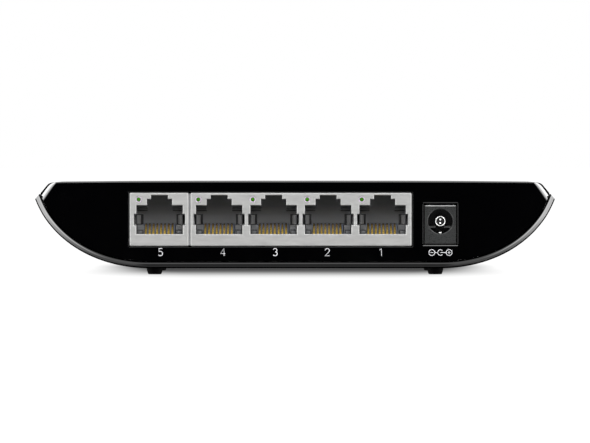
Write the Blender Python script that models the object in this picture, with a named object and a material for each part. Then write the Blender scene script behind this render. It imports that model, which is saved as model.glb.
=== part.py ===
"""A desktop network switch: five ganged modular jacks and a power inlet in a low, boat-shaped plastic case.

Run with: blender --background --python part.py

Frame: +Z up, -Y is the port face, +Y the indicator face. The origin is on the desk, under the case's centre.
Lengths are written in millimetres and multiplied by MM where a mesh is made.
"""

import math

import bmesh
import bpy
import numpy as np
from mathutils import Matrix, Vector

MM = 0.001
GAP = 0.3  # clearance left between neighbouring pieces
OVER = 1.0  # how far a cutter runs past the wall that it cuts

# --- Case -----------------------------------------------------------------------------------------
DEPTH = 88.0
REAR = -DEPTH / 2
TIP_X = 66.7  # the case's widest point, half its width
TIP_Z = 19.35
TIP_ANGLE = math.radians(67)  # the hull's slope where it ends at the tip
TIP_HANDLE = 13.2
KEEL_Z = 1.8  # underside of the hull, above the desk
KEEL_HALF = 37.5  # half width of the hull's flat bottom
KEEL_HANDLE = 11.8
SHELL = 1.5  # thickness of the bottom shell
RIM_ROUND = 1.25  # rounding of the bottom shell's two end edges
BEVEL_ANGLE = math.radians(50)  # slope of the cover's side bevel
TOP_Z = 23.5  # the cover's top edge
DOME = 0.5  # how much the top rises in the middle
TOP_ROUND = 2.0  # radius between the top and the side bevel
TOP_EDGE_DROP = 0.25  # rounding of the top at the two end walls
FACE_INSET = 0.3  # how far inside the side bevel the end wall's flat face stops
CORNER_DEPTH = 2.2  # how far the cover's end corners run back along the case
CORNER_START = math.radians(35)  # angle at which a corner leaves the end wall
END_WALL = 1.8
TOP_WALL = 1.6
SEAM = SHELL + GAP  # inset of the cover's end walls from the hull
LIP = 1.3  # thickness of the cover's lip inside the bottom shell
LIP_END_Z = 17.0
HULL_STEPS = 10
CASE_SCREW_X, CASE_SCREW_Y = 50.0, 30.0
CASE_BOSS_R, CASE_BOSS_TOP = 4.3, 10.0
COUNTERBORE_R, COUNTERBORE_TOP = 3.2, 7.2
POST_R = 3.0
SCREW_R = 1.25

# --- Circuit board ----------------------------------------------------------------------------------
BOARD_TOP = 7.0
BOARD_THICK = 1.6
BOARD_HALF = 45.2
BOARD_REAR, BOARD_FRONT = -40.5, 32.0
BOARD_SCREW_X, BOARD_SCREW_Y = 42.0, 27.0
BOARD_PIN_X, BOARD_PIN_Y = 43.5, -24.0
CHIP_PLACE = (-4.0, 6.0, 0.0)

# --- Modular jacks ----------------------------------------------------------------------------------
PITCH = 13.97  # port to port in the ganged jack
SINGLE_X = (-42.5, -27.2)
QUAD_X = (-26.9, 30.0)
PORT_X = {5: -34.75, 4: -19.45, 3: -19.45 + PITCH, 2: -19.45 + 2 * PITCH, 1: -19.45 + 3 * PITCH}
JACK_Z = (7.3, 21.1)
JACK_FACE = REAR + 0.1
JACK_DEPTH = 16.0
SHEET = 0.4  # thickness of the metal shield
FLOOR_Z = 10.45
SHOULDER_Z = 17.8
LATCH_STEP_Z = 19.4
LATCH_TOP_Z = 20.4
MOUTH_HALF = 5.93
LATCH_STEP_HALF = 3.2
LATCH_HALF = 2.15
NOTCH_HALF = 6.55
NOTCH_Z = (12.75, 15.55)
CAVITY_BACK = REAR + 13.0
PORT_LED_X, PORT_LED_Z = -5.35, 19.3
PORT_LED_R, PORT_LED_LONG = 0.55, 8.0
CONTACT_PITCH = 1.02
CONTACT_COUNT = 8
CONTACT_WIDE, CONTACT_THICK = 0.5, 0.35
CONTACT_BAR_R = 0.42
CONTACT_PIVOT = (REAR + 2.5, 9.7)  # y and z of the bend that the contacts flex about
CONTACT_KNEE = (8.4, 3.3)  # from the pivot, along y and z
CONTACT_TIP = (9.2, 3.05)

# --- Power inlet ------------------------------------------------------------------------------------
INLET_X, INLET_Z = 37.3, 13.73
INLET_HALF = 4.08
INLET_BODY_Z = (7.9, 17.9)
INLET_FACE = REAR + 0.8
INLET_DEPTH = 13.0
INLET_WINDOW_HALF = 4.7
INLET_WINDOW_Z = (7.2, 18.7)
BORE_R, BORE_DEPTH = 3.2, 9.6
PIN_R = 1.3
SPRING_PIVOT = (REAR + 12.6, 9.5)
SPRING_HALF = 0.65

# --- Feet -------------------------------------------------------------------------------------------
FOOT_X, FOOT_Y = 36.15, 33.0
FOOT_TOP_R, FOOT_BOTTOM_R = 2.1, 1.65

# --- Indicators -------------------------------------------------------------------------------------
INDICATOR_PITCH = 8.0
INDICATOR_Z = 12.0
INDICATORS = ("power", "1", "2", "3", "4", "5")

# --- Underside --------------------------------------------------------------------------------------
LABEL_HALF = (24.0, 13.0)
LABEL_THICK = 0.3
LABEL_RECESS_Z = KEEL_Z + 0.7
VENT_COUNT, VENT_PITCH = 8, 5.2
VENT_HALF_WIDE, VENT_HALF_LONG = 0.9, 7.0
VENT_Y = 29.0


# --- Scene helpers ----------------------------------------------------------------------------------
def clear_scene():
    for obj in list(bpy.data.objects):
        bpy.data.objects.remove(obj)


def material(name, colour, roughness, metallic=0.0):
    mat = bpy.data.materials.new(name)
    mat.use_nodes = True
    shader = mat.node_tree.nodes["Principled BSDF"]
    shader.inputs["Base Color"].default_value = (*colour, 1.0)
    shader.inputs["Roughness"].default_value = roughness
    shader.inputs["Metallic"].default_value = metallic
    return mat


def add_object(name, bm, mat=None, origin=(0, 0, 0)):
    """An object from a bmesh in millimetres, measured from the object's origin."""
    bmesh.ops.recalc_face_normals(bm, faces=bm.faces)
    bmesh.ops.scale(bm, vec=(MM, MM, MM), verts=bm.verts)
    mesh = bpy.data.meshes.new(name)
    bm.to_mesh(mesh)
    bm.free()
    obj = bpy.data.objects.new(name, mesh)
    obj.location = Vector(origin) * MM
    bpy.context.scene.collection.objects.link(obj)
    if mat:
        mesh.materials.append(mat)
        mesh.shade_smooth()
        mesh.set_sharp_from_angle(angle=math.radians(35))
    return obj


def helper(name, bm):
    """A cutter, or a blank that is joined to a part: it isn't a part itself."""
    obj = add_object(name, bm)
    obj.hide_render = True
    obj.display_type = "WIRE"
    return obj


def combine(obj, operation, other, solver="EXACT"):
    modifier = obj.modifiers.new(operation.title(), "BOOLEAN")
    modifier.operation = operation
    modifier.object = other
    modifier.solver = solver


# --- Mesh helpers -----------------------------------------------------------------------------------
def loft(sections):
    """A closed skin through sections, each a y and the same number of (x, z) points."""
    bm = bmesh.new()
    rings = [[bm.verts.new((x, y, z)) for x, z in outline] for y, outline in sections]
    for near, far in zip(rings, rings[1:]):
        for i in range(len(near)):
            j = (i + 1) % len(near)
            bm.faces.new((near[i], near[j], far[j], far[i]))
    bm.faces.new(rings[0])
    bm.faces.new(rings[-1])
    return bm


def prism(outline, y0, y1):
    return loft([(y0, outline), (y1, outline)])


def side_prism(outline, half_wide, bm=None, x=0.0):
    """A (y, z) outline extruded along x, half_wide either way of x."""
    bm = bm or bmesh.new()
    near, far = ([bm.verts.new((x + side * half_wide, y, z)) for y, z in outline] for side in (-1, 1))
    for i in range(len(near)):
        j = (i + 1) % len(near)
        bm.faces.new((near[i], near[j], far[j], far[i]))
    bm.faces.new(near)
    bm.faces.new(far)
    return bm


def box(low, high, bm=None):
    bm = bm or bmesh.new()
    low, high = Vector(low), Vector(high)
    matrix = Matrix.Translation((low + high) / 2) @ Matrix.Diagonal((*(high - low), 1))
    bmesh.ops.create_cube(bm, size=1, matrix=matrix)
    return bm


def cylinder(radius, low, high, segments=16, bm=None):
    """A cylinder from point low to point high, which share two coordinates."""
    bm = bm or bmesh.new()
    low, high = Vector(low), Vector(high)
    turn = (high - low).to_track_quat("Z", "Y").to_matrix().to_4x4()
    bmesh.ops.create_cone(
        bm, cap_ends=True, segments=segments, radius1=radius, radius2=radius, depth=(high - low).length,
        matrix=Matrix.Translation((low + high) / 2) @ turn,
    )
    return bm


def turned(profile, segments=16):
    """A (radius, height) profile that starts and ends on the axis, turned about Z."""
    bm = bmesh.new()
    low = bm.verts.new((0, 0, profile[0][1]))
    high = bm.verts.new((0, 0, profile[-1][1]))
    rings = []
    for radius, height in profile[1:-1]:
        angles = [math.tau * k / segments for k in range(segments)]
        rings.append([bm.verts.new((radius * math.cos(a), radius * math.sin(a), height)) for a in angles])
    for k in range(segments):
        n = (k + 1) % segments
        bm.faces.new((low, rings[0][n], rings[0][k]))
        bm.faces.new((high, rings[-1][k], rings[-1][n]))
        for near, far in zip(rings, rings[1:]):
            bm.faces.new((near[k], near[n], far[n], far[k]))
    return bm


def stadium(half_wide, half_long, low_z, high_z, centre, bm, steps=3):
    """An upright slot cutter with round ends, long along y."""
    straight = half_long - half_wide
    turns = [math.pi * k / steps for k in range(steps + 1)]
    outline = [(half_wide * math.cos(a), straight + half_wide * math.sin(a)) for a in turns]
    outline += [(-x, -y) for x, y in outline]
    rings = [[bm.verts.new((centre[0] + x, centre[1] + y, z)) for x, y in outline] for z in (low_z, high_z)]
    for i in range(len(outline)):
        j = (i + 1) % len(outline)
        bm.faces.new((rings[0][i], rings[0][j], rings[1][j], rings[1][i]))
    bm.faces.new(rings[0])
    bm.faces.new(rings[1])


# --- Case outline -----------------------------------------------------------------------------------
def hull_point(t, inset):
    """A point (x, z) of the hull's right side, from keel (t 0) to tip (t 1), moved inwards by inset."""
    ends = np.array([
        (KEEL_HALF, KEEL_Z),
        (KEEL_HALF + KEEL_HANDLE, KEEL_Z),
        (TIP_X - TIP_HANDLE * math.cos(TIP_ANGLE), TIP_Z - TIP_HANDLE * math.sin(TIP_ANGLE)),
        (TIP_X, TIP_Z),
    ])
    u = 1 - t
    weights = np.array((u**3, 3 * u**2 * t, 3 * u * t**2, t**3))
    slopes = np.array((-(u**2), u**2 - 2 * u * t, 2 * u * t - t**2, t**2))
    x, z = weights @ ends
    dx, dz = slopes @ ends
    length = math.hypot(dx, dz)
    return x - inset * dz / length, z + inset * dx / length


def tip_corner(hull_inset, bevel_inset):
    """Where the hull's end, continued, meets the side bevel, each moved inwards."""
    hull_normal = (-math.sin(TIP_ANGLE), math.cos(TIP_ANGLE))
    bevel_normal = (-math.sin(BEVEL_ANGLE), -math.cos(BEVEL_ANGLE))
    x, z = np.linalg.solve(np.array((hull_normal, bevel_normal)), (hull_inset, bevel_inset))
    return TIP_X + x, TIP_Z + z


def bevel_x(z, inset=0.0):
    """The side bevel's x at height z."""
    return TIP_X - (z - TIP_Z) / math.tan(BEVEL_ANGLE) - inset / math.sin(BEVEL_ANGLE)


def hull_side(inset, first=0.0, last=1.0, steps=HULL_STEPS):
    return [hull_point(first + (last - first) * k / steps, inset) for k in range(steps + 1)]


def both_sides(right):
    """A closed outline from its right half, listed from the middle round to the middle."""
    left = [(-x, z) for x, z in reversed(right) if x > 0]
    return right + left


def along_line(start, end, like):
    """Points on the line from start to end, spread as the points of like are along their own path."""
    run = np.concatenate(([0], np.cumsum(np.hypot(*np.diff(np.array(like), axis=0).T))))
    start, end = np.array(start), np.array(end)
    return [tuple(start + (end - start) * share) for share in run / run[-1]]


def cover_outline(spread, y):
    """The cover's outer outline. spread is 0 at an end wall's face and 1 past its rounded corners."""
    corner = (bevel_x(TOP_Z), TOP_Z)
    reach = TOP_ROUND * math.tan(BEVEL_ANGLE / 2)
    start_x = corner[0] - reach
    turns = [BEVEL_ANGLE * k / 4 for k in range(5)]
    centre = (start_x, TOP_Z - TOP_ROUND)
    rounding = [(centre[0] + TOP_ROUND * math.sin(a), centre[1] + TOP_ROUND * math.cos(a)) for a in turns]
    full_side = rounding + [tip_corner(SEAM, 0)] + hull_side(SEAM, 1.0, 0.95, 1)
    face_side = along_line((start_x - FACE_INSET, TOP_Z - TOP_EDGE_DROP), full_side[-1], full_side)
    side = [tuple(np.array(a) + spread * (np.array(b) - np.array(a))) for a, b in zip(face_side, full_side)]
    top_z = TOP_Z - TOP_EDGE_DROP * (1 - spread)
    rise = DOME * spread * (1 - (y / REAR) ** 2)
    top = [(x, top_z + rise * (1 - (x / start_x) ** 2)) for x in start_x * np.arange(5) / 5]
    hull = hull_side(SEAM, 0.9, 0.0, HULL_STEPS - 1)
    return both_sides([(float(x), float(z)) for x, z in top + side + hull])


def cover_sections():
    """Sections from end to end, close together where the corners are round."""
    sections = []
    for angle in np.linspace(CORNER_START, math.pi / 2, 5):
        spread = (math.sin(angle) - math.sin(CORNER_START)) / (1 - math.sin(CORNER_START))
        back = CORNER_DEPTH * (1 - math.cos(angle) / math.cos(CORNER_START))
        sections.append((REAR + back, spread))
    sections += [(REAR * share, 1.0) for share in (0.66, 0.33)]
    stations = sections + [(0.0, 1.0)] + [(-y, spread) for y, spread in reversed(sections)]
    return [(y, cover_outline(spread, y)) for y, spread in stations]


def shell_outline(inset):
    """The bottom shell's outline, its outside moved inwards by inset."""
    outside = hull_side(inset) + [tip_corner(inset, 0)]
    inside = [tip_corner(SHELL, 0)] + hull_side(SHELL, 1.0, 0.0)
    half = [(float(x), float(z)) for x, z in outside + inside]
    return half + [(-x, z) for x, z in reversed(half)]


def shell_sections():
    sections = []
    for angle in np.linspace(0, math.pi / 2, 4):
        back = RIM_ROUND * (1 - math.cos(angle))
        sections.append((REAR + back, RIM_ROUND * (1 - math.sin(angle))))
    stations = sections + [(-y, inset) for y, inset in reversed(sections)]
    return [(y, shell_outline(inset)) for y, inset in stations]


# --- Case parts -------------------------------------------------------------------------------------
def corners(x, y):
    return [(side * x, end * y) for side in (-1, 1) for end in (-1, 1)]


def make_top_cover(mat):
    cover = add_object("top_cover", loft(cover_sections()), mat)
    windows = bmesh.new()
    near, far = REAR - OVER, REAR + END_WALL + OVER
    box((SINGLE_X[0] - GAP, near, JACK_Z[0] - GAP), (QUAD_X[1] + GAP, far, JACK_Z[1] + GAP), windows)
    low_x, high_x = INLET_X - INLET_WINDOW_HALF, INLET_X + INLET_WINDOW_HALF
    box((low_x, near, INLET_WINDOW_Z[0]), (high_x, far, INLET_WINDOW_Z[1]), windows)
    for x in indicator_places():
        box((x - 1.4, -far, INDICATOR_Z - 1.0), (x + 1.4, -near, INDICATOR_Z + 1.0), windows)
    combine(cover, "DIFFERENCE", helper("cover_windows", windows), "MANIFOLD")

    ceiling = TOP_Z - TOP_WALL
    lip_inset = SEAM + LIP
    lip = [point for point in hull_side(lip_inset, 1.0, 0.8, 4) if point[1] > LIP_END_Z]
    half = [(0, ceiling), (bevel_x(ceiling, TOP_WALL), ceiling), tip_corner(lip_inset, TOP_WALL)] + lip
    half += [(lip[-1][0], LIP_END_Z), (TIP_X + OVER, LIP_END_Z), (TIP_X + OVER, -OVER), (0, -OVER)]
    inside = prism(both_sides(half), REAR + END_WALL, -REAR - END_WALL)
    combine(cover, "DIFFERENCE", helper("cover_inside", inside), "MANIFOLD")

    posts = bmesh.new()
    for x, y in corners(CASE_SCREW_X, CASE_SCREW_Y):
        cylinder(POST_R, (x, y, CASE_BOSS_TOP + GAP), (x, y, ceiling + TOP_WALL / 2), bm=posts)
    combine(cover, "UNION", helper("cover_posts", posts), "MANIFOLD")

    holes = bmesh.new()
    for x, y in corners(CASE_SCREW_X, CASE_SCREW_Y):
        cylinder(SCREW_R + GAP, (x, y, CASE_BOSS_TOP - OVER), (x, y, CASE_BOSS_TOP + 8), 12, holes)
    combine(cover, "DIFFERENCE", helper("cover_holes", holes), "MANIFOLD")


def make_bottom_shell(mat):
    shell = add_object("bottom_shell", loft(shell_sections()), mat)

    bosses = bmesh.new()
    for x, y in corners(CASE_SCREW_X, CASE_SCREW_Y):
        cylinder(CASE_BOSS_R, (x, y, 0), (x, y, CASE_BOSS_TOP), bm=bosses)
    boss_top = BOARD_TOP - BOARD_THICK - GAP
    for side in (-1, 1):
        screw_x, pin_x = side * BOARD_SCREW_X, side * BOARD_PIN_X
        cylinder(3.0, (screw_x, BOARD_SCREW_Y, 0), (screw_x, BOARD_SCREW_Y, boss_top), 12, bosses)
        cylinder(2.5, (pin_x, BOARD_PIN_Y, 0), (pin_x, BOARD_PIN_Y, boss_top), 12, bosses)
    bosses = helper("shell_bosses", bosses)
    inner_hull = both_sides([(0, KEEL_Z + SHELL / 2)] + hull_side(SHELL / 2) + [(0, TIP_Z)])
    combine(bosses, "INTERSECT", helper("shell_inside", prism(inner_hull, REAR + OVER, -REAR - OVER)))
    combine(shell, "UNION", bosses)

    pins = bmesh.new()
    for side in (-1, 1):
        x = side * BOARD_PIN_X
        cylinder(1.1, (x, BOARD_PIN_Y, boss_top - OVER), (x, BOARD_PIN_Y, BOARD_TOP + 1.5), 12, pins)
    combine(shell, "UNION", helper("shell_pins", pins))

    ribs = bmesh.new()
    half = hull_side(SHELL / 2, 0.0, 0.8, 8) + hull_side(SHELL + 1.2, 0.8, 0.0, 8)
    for end in (-1, 1):
        y = end * (-REAR - END_WALL - GAP)
        rib = prism(half + [(-x, z) for x, z in reversed(half)], y, y - end * 1.0)
        mesh = bpy.data.meshes.new("rib")
        rib.to_mesh(mesh)
        rib.free()
        ribs.from_mesh(mesh)
    combine(shell, "UNION", helper("shell_ribs", ribs))

    cuts = bmesh.new()
    for x, y in corners(CASE_SCREW_X, CASE_SCREW_Y):
        cylinder(COUNTERBORE_R, (x, y, -OVER), (x, y, COUNTERBORE_TOP), bm=cuts)
    label_x, label_y = (half + GAP for half in LABEL_HALF)
    box((-label_x, -label_y, 0), (label_x, label_y, LABEL_RECESS_Z), cuts)
    floor = KEEL_Z + SHELL + OVER
    for x, y in corners(FOOT_X, FOOT_Y):
        cylinder(1.4, (x, y, 0), (x, y, floor), 12, cuts)
    for end in (-1, 1):
        for k in range(VENT_COUNT):
            x = (k - (VENT_COUNT - 1) / 2) * VENT_PITCH
            stadium(VENT_HALF_WIDE, VENT_HALF_LONG, 0, floor, (x, end * VENT_Y), cuts)
    combine(shell, "DIFFERENCE", helper("shell_cuts", cuts))

    holes = bmesh.new()
    for x, y in corners(CASE_SCREW_X, CASE_SCREW_Y):
        cylinder(SCREW_R + GAP, (x, y, COUNTERBORE_TOP - OVER), (x, y, CASE_BOSS_TOP + OVER), 12, holes)
    for side in (-1, 1):
        x = side * BOARD_SCREW_X
        cylinder(1.2, (x, BOARD_SCREW_Y, boss_top - 1.2), (x, BOARD_SCREW_Y, boss_top + OVER), 10, holes)
    combine(shell, "DIFFERENCE", helper("shell_holes", holes))


def make_feet(mat):
    """Rubber feet, each with a stem and a bulb that hold it in the bottom shell."""
    top = KEEL_Z - GAP
    inside = KEEL_Z + SHELL + GAP
    profile = [
        (0, 0), (FOOT_BOTTOM_R - 0.25, 0), (FOOT_BOTTOM_R, 0.2),
        (FOOT_TOP_R - 0.1, top - 0.3), (FOOT_TOP_R, top), (1.1, top),
        (1.1, inside), (1.75, inside + 0.1), (0.8, inside + 1.6), (0, inside + 1.6),
    ]
    for y, end in ((-FOOT_Y, "rear"), (FOOT_Y, "front")):
        for x, side in ((-FOOT_X, "left"), (FOOT_X, "right")):
            add_object(f"foot_{end}_{side}", turned(profile, 16), mat, (x, y, 0))


def make_screw(name, place, head_r, head_high, shank_r, shank_long, mat, down):
    """A cross-recess screw. Its head's seat is at place; down screws point up from under the case."""
    profile = [
        (0, -head_high), (head_r * 0.72, -head_high), (head_r, -head_high * 0.45), (head_r, 0),
        (shank_r, 0), (shank_r, shank_long - shank_r), (shank_r * 0.35, shank_long), (0, shank_long),
    ]
    screw = add_object(name, turned(profile, 12), mat, place)
    half, thin = head_r * 0.55, head_r * 0.13
    cross = box((-half, -thin, -head_high - OVER), (half, thin, -head_high * 0.4))
    box((-thin, -half, -head_high - OVER), (thin, half, -head_high * 0.4), cross)
    recess = helper(name + "_recess", cross)
    recess.parent = screw
    modifier = screw.modifiers.new("Recess", "BOOLEAN")
    modifier.object = recess
    modifier.use_self = True
    if down:
        screw.rotation_euler = (math.pi, 0, 0)


def make_screws(mat):
    spots = {"rear_left": (-1, -1), "rear_right": (1, -1), "front_left": (-1, 1), "front_right": (1, 1)}
    for spot, (side, end) in spots.items():
        place = (side * CASE_SCREW_X, end * CASE_SCREW_Y, COUNTERBORE_TOP - GAP)
        make_screw(f"case_screw_{spot}", place, 2.7, 1.9, SCREW_R, 10.0, mat, False)
    for side, word in ((-1, "left"), (1, "right")):
        place = (side * BOARD_SCREW_X, BOARD_SCREW_Y, BOARD_TOP + GAP)
        make_screw(f"board_screw_{word}", place, 2.5, 1.6, 0.8, 2.9, mat, True)


def make_label(mat):
    low = LABEL_RECESS_Z - GAP - LABEL_THICK
    label = box((-LABEL_HALF[0], -LABEL_HALF[1], low), (*LABEL_HALF, low + LABEL_THICK))
    add_object("rating_label", label, mat)


# --- Modular jacks ----------------------------------------------------------------------------------
def mouth_outline(x, latch_top, notch):
    """A jack's stepped mouth: a wide body, a narrower step and the latch slot on top."""
    half = [(MOUTH_HALF, FLOOR_Z)]
    if notch:
        low, high = NOTCH_Z
        half += [(MOUTH_HALF, low), (NOTCH_HALF, low), (NOTCH_HALF, high), (MOUTH_HALF, high)]
    half += [(MOUTH_HALF, SHOULDER_Z), (LATCH_STEP_HALF, SHOULDER_Z), (LATCH_STEP_HALF, LATCH_STEP_Z)]
    half += [(LATCH_HALF, LATCH_STEP_Z), (LATCH_HALF, latch_top)]
    outline = half + [(-px, pz) for px, pz in reversed(half)]
    return [(x + px, pz) for px, pz in outline]


def joined_prisms(outlines, y0, y1):
    bm = bmesh.new()
    for outline in outlines:
        part = prism(outline, y0, y1)
        mesh = bpy.data.meshes.new("part")
        part.to_mesh(mesh)
        part.free()
        bm.from_mesh(mesh)
    return bm


def make_shield(name, span, ports, mat):
    """The sheet-metal shield: a box with no bottom, its face cut out round each mouth and indicator."""
    back = JACK_FACE + JACK_DEPTH
    shield = add_object(name, box((span[0], JACK_FACE, JACK_Z[0]), (span[1], back, JACK_Z[1])), mat)
    low = (span[0] + SHEET, JACK_FACE + SHEET, JACK_Z[0] - OVER)
    high = (span[1] - SHEET, back - SHEET, JACK_Z[1] - SHEET)
    combine(shield, "DIFFERENCE", helper(name + "_inside", box(low, high)))
    outlines = [mouth_outline(PORT_X[port], LATCH_TOP_Z, True) for port in ports]
    near, far = JACK_FACE - OVER, JACK_FACE + SHEET + 0.15
    cuts = joined_prisms(outlines, near, far)
    for port in ports:
        x = PORT_X[port] + PORT_LED_X
        cylinder(PORT_LED_R + GAP, (x, near, PORT_LED_Z), (x, far, PORT_LED_Z), 12, cuts)
    combine(shield, "DIFFERENCE", helper(name + "_mouths", cuts))


def make_housing(name, span, ports, mat):
    """The plastic body inside a shield, with one cavity for each port."""
    wall = SHEET + GAP
    face, back = JACK_FACE + wall, JACK_FACE + JACK_DEPTH - wall
    top = JACK_Z[1] - wall
    housing = add_object(name, box((span[0] + wall, face, JACK_Z[0]), (span[1] - wall, back, top)), mat)
    outlines = [mouth_outline(PORT_X[port], JACK_Z[1], False) for port in ports]
    cavities = joined_prisms(outlines, face - OVER, CAVITY_BACK)
    combine(housing, "DIFFERENCE", helper(name + "_cavities", cavities))
    cuts = bmesh.new()
    trench_half = CONTACT_PITCH * (CONTACT_COUNT - 1) / 2 + CONTACT_WIDE / 2 + GAP
    for port in ports:
        x = PORT_X[port]
        low, high = (CONTACT_PIVOT[0] - 0.9, 9.0), (CAVITY_BACK - 0.2, FLOOR_Z + 0.2)
        box((x - trench_half, *low), (x + trench_half, *high), cuts)
        for side in (-1, 1):
            low, high = sorted((x + side * (MOUTH_HALF - 0.2), x + side * NOTCH_HALF))
            box((low, face - OVER, NOTCH_Z[0]), (high, face + 6.0, NOTCH_Z[1]), cuts)
        led = x + PORT_LED_X
        hole_end = JACK_FACE + PORT_LED_LONG + GAP
        cylinder(PORT_LED_R + GAP, (led, face - OVER, PORT_LED_Z), (led, hole_end, PORT_LED_Z), 12, cuts)
    combine(housing, "DIFFERENCE", helper(name + "_pockets", cuts))


def contact_outline():
    """One contact wire seen from the side, as a strip about its centre line."""
    centre = [np.array(point) for point in ((0.0, 0.0), CONTACT_KNEE, CONTACT_TIP)]
    half = CONTACT_THICK / 2
    upper, lower = [], []
    for point, before, after in zip(centre, centre[:1] + centre, centre[1:] + centre[-1:]):
        along = after - before
        across = np.array((-along[1], along[0])) / np.hypot(*along)
        upper.append(tuple(point + half * across))
        lower.append(tuple(point - half * across))
    return upper + lower[::-1]


def make_contacts(port, mat):
    """Eight contact wires on the insert that they bend from, with the origin on the line they flex about."""
    row = CONTACT_PITCH * (CONTACT_COUNT - 1) / 2
    half = row + CONTACT_WIDE / 2
    turns = [math.tau * (k + 0.5) / 8 for k in range(8)]
    bar = [(CONTACT_BAR_R * math.cos(a), CONTACT_BAR_R * math.sin(a)) for a in turns]
    origin = (PORT_X[port], *CONTACT_PIVOT)
    contacts = add_object(f"port_{port}_contacts", side_prism(bar, half), mat, origin)
    wires = bmesh.new()
    for k in range(CONTACT_COUNT):
        side_prism(contact_outline(), CONTACT_WIDE / 2 * 0.98, wires, -row + k * CONTACT_PITCH)
    wires = helper(f"port_{port}_wires", wires)
    wires.parent = contacts
    combine(contacts, "UNION", wires)


def make_port_led(port, mat):
    x = PORT_X[port] + PORT_LED_X
    profile = [(0, 0), (PORT_LED_R * 0.7, 0.05), (PORT_LED_R, 0.25)]
    profile += [(PORT_LED_R, PORT_LED_LONG), (0, PORT_LED_LONG)]
    led = add_object(f"port_{port}_led", turned(profile, 12), mat, (x, JACK_FACE, PORT_LED_Z))
    led.rotation_euler = (-math.pi / 2, 0, 0)


# --- Power inlet ------------------------------------------------------------------------------------
def make_inlet(plastic, metal):
    low_x, high_x = INLET_X - INLET_HALF, INLET_X + INLET_HALF
    back = INLET_FACE + INLET_DEPTH
    block = box((low_x, INLET_FACE, INLET_BODY_Z[0]), (high_x, back, INLET_BODY_Z[1]))
    body = add_object("power_inlet_body", block, plastic)
    base = box((low_x + 0.4, INLET_FACE + 3, JACK_Z[0]), (high_x - 0.4, back - 0.4, INLET_BODY_Z[0] + 0.5))
    combine(body, "UNION", helper("inlet_base", base))
    bore_end = INLET_FACE + BORE_DEPTH
    bore = cylinder(BORE_R, (INLET_X, INLET_FACE - OVER, INLET_Z), (INLET_X, bore_end, INLET_Z), 24)
    combine(body, "DIFFERENCE", helper("inlet_bore", bore))
    cuts = cylinder(PIN_R + GAP, (INLET_X, bore_end - OVER, INLET_Z), (INLET_X, back + OVER, INLET_Z), 16)
    combine(body, "DIFFERENCE", helper("inlet_pin_hole", cuts))
    half = SPRING_HALF + GAP
    low, high = (INLET_FACE + 0.8, 8.75), (SPRING_PIVOT[0] + 0.75, INLET_Z - 2.4)
    slot = box((INLET_X - half, *low), (INLET_X + half, *high))
    combine(body, "DIFFERENCE", helper("inlet_slot", slot))

    profile = [(0, 0), (PIN_R - 0.35, 0), (PIN_R, 0.35), (PIN_R, INLET_DEPTH + 0.4), (0, INLET_DEPTH + 0.4)]
    pin = add_object("power_inlet_pin", turned(profile, 16), metal, (INLET_X, INLET_FACE + 0.5, INLET_Z))
    pin.rotation_euler = (-math.pi / 2, 0, 0)

    leaf = [(0.15, -0.3), (0.15, 0.3), (-8.7, 1.85), (-9.9, 1.2), (-9.75, 0.95), (-8.75, 1.5)]
    add_object("power_inlet_spring", side_prism(leaf, SPRING_HALF), metal, (INLET_X, *SPRING_PIVOT))


# --- Circuit board and what it carries --------------------------------------------------------------
def make_board(mat):
    low = BOARD_TOP - BOARD_THICK
    blank = box((-BOARD_HALF, BOARD_REAR, low), (BOARD_HALF, BOARD_FRONT, BOARD_TOP))
    board = add_object("circuit_board", blank, mat)
    holes = bmesh.new()
    for side in (-1, 1):
        for x, y in ((side * BOARD_SCREW_X, BOARD_SCREW_Y), (side * BOARD_PIN_X, BOARD_PIN_Y)):
            cylinder(1.5, (x, y, low - OVER), (x, y, BOARD_TOP + OVER), 12, holes)
    combine(board, "DIFFERENCE", helper("board_holes", holes))


def make_lead_block(name, centre, size, lead_count, mat):
    """A moulded part with a row of gull-wing leads along its front and back, standing on the board."""
    wide, deep, high = size
    base = BOARD_TOP + GAP
    body = box((-wide / 2, -deep / 2, base + 0.3), (wide / 2, deep / 2, base + high))
    block = add_object(name, body, mat, (*centre, 0))
    leads = bmesh.new()
    pitch = (wide - 1.0) / (lead_count - 1)
    for end in (-1, 1):
        near, out, toe = (end * (deep / 2 + reach) for reach in (-0.5, 0.8, 1.6))
        profile = [(near, base + 0.9), (out, base + 0.9), (toe, base), (out, base), (near, base + 0.6)]
        for k in range(lead_count):
            side_prism(profile, 0.25, leads, (k - (lead_count - 1) / 2) * pitch)
    leads = helper(name + "_leads", leads)
    leads.parent = block
    combine(block, "UNION", leads)


def make_heat_sink(mat):
    """A finned block, drawn as a comb outline and extruded."""
    base = BOARD_TOP + GAP + 2.6
    floor, top = base + 1.6, base + 6.5
    fins, pitch, half_thick = 6, 3.6, 0.6
    half = pitch * (fins - 1) / 2 + half_thick
    outline = [(-half, base), (half, base)]
    for k in reversed(range(fins)):
        x = (k - (fins - 1) / 2) * pitch
        low_x, high_x = x - half_thick, x + half_thick
        outline += [(high_x, floor), (high_x, top), (low_x, top), (low_x, floor)]
    add_object("heat_sink", prism(outline, -half, half), mat, CHIP_PLACE)


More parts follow.
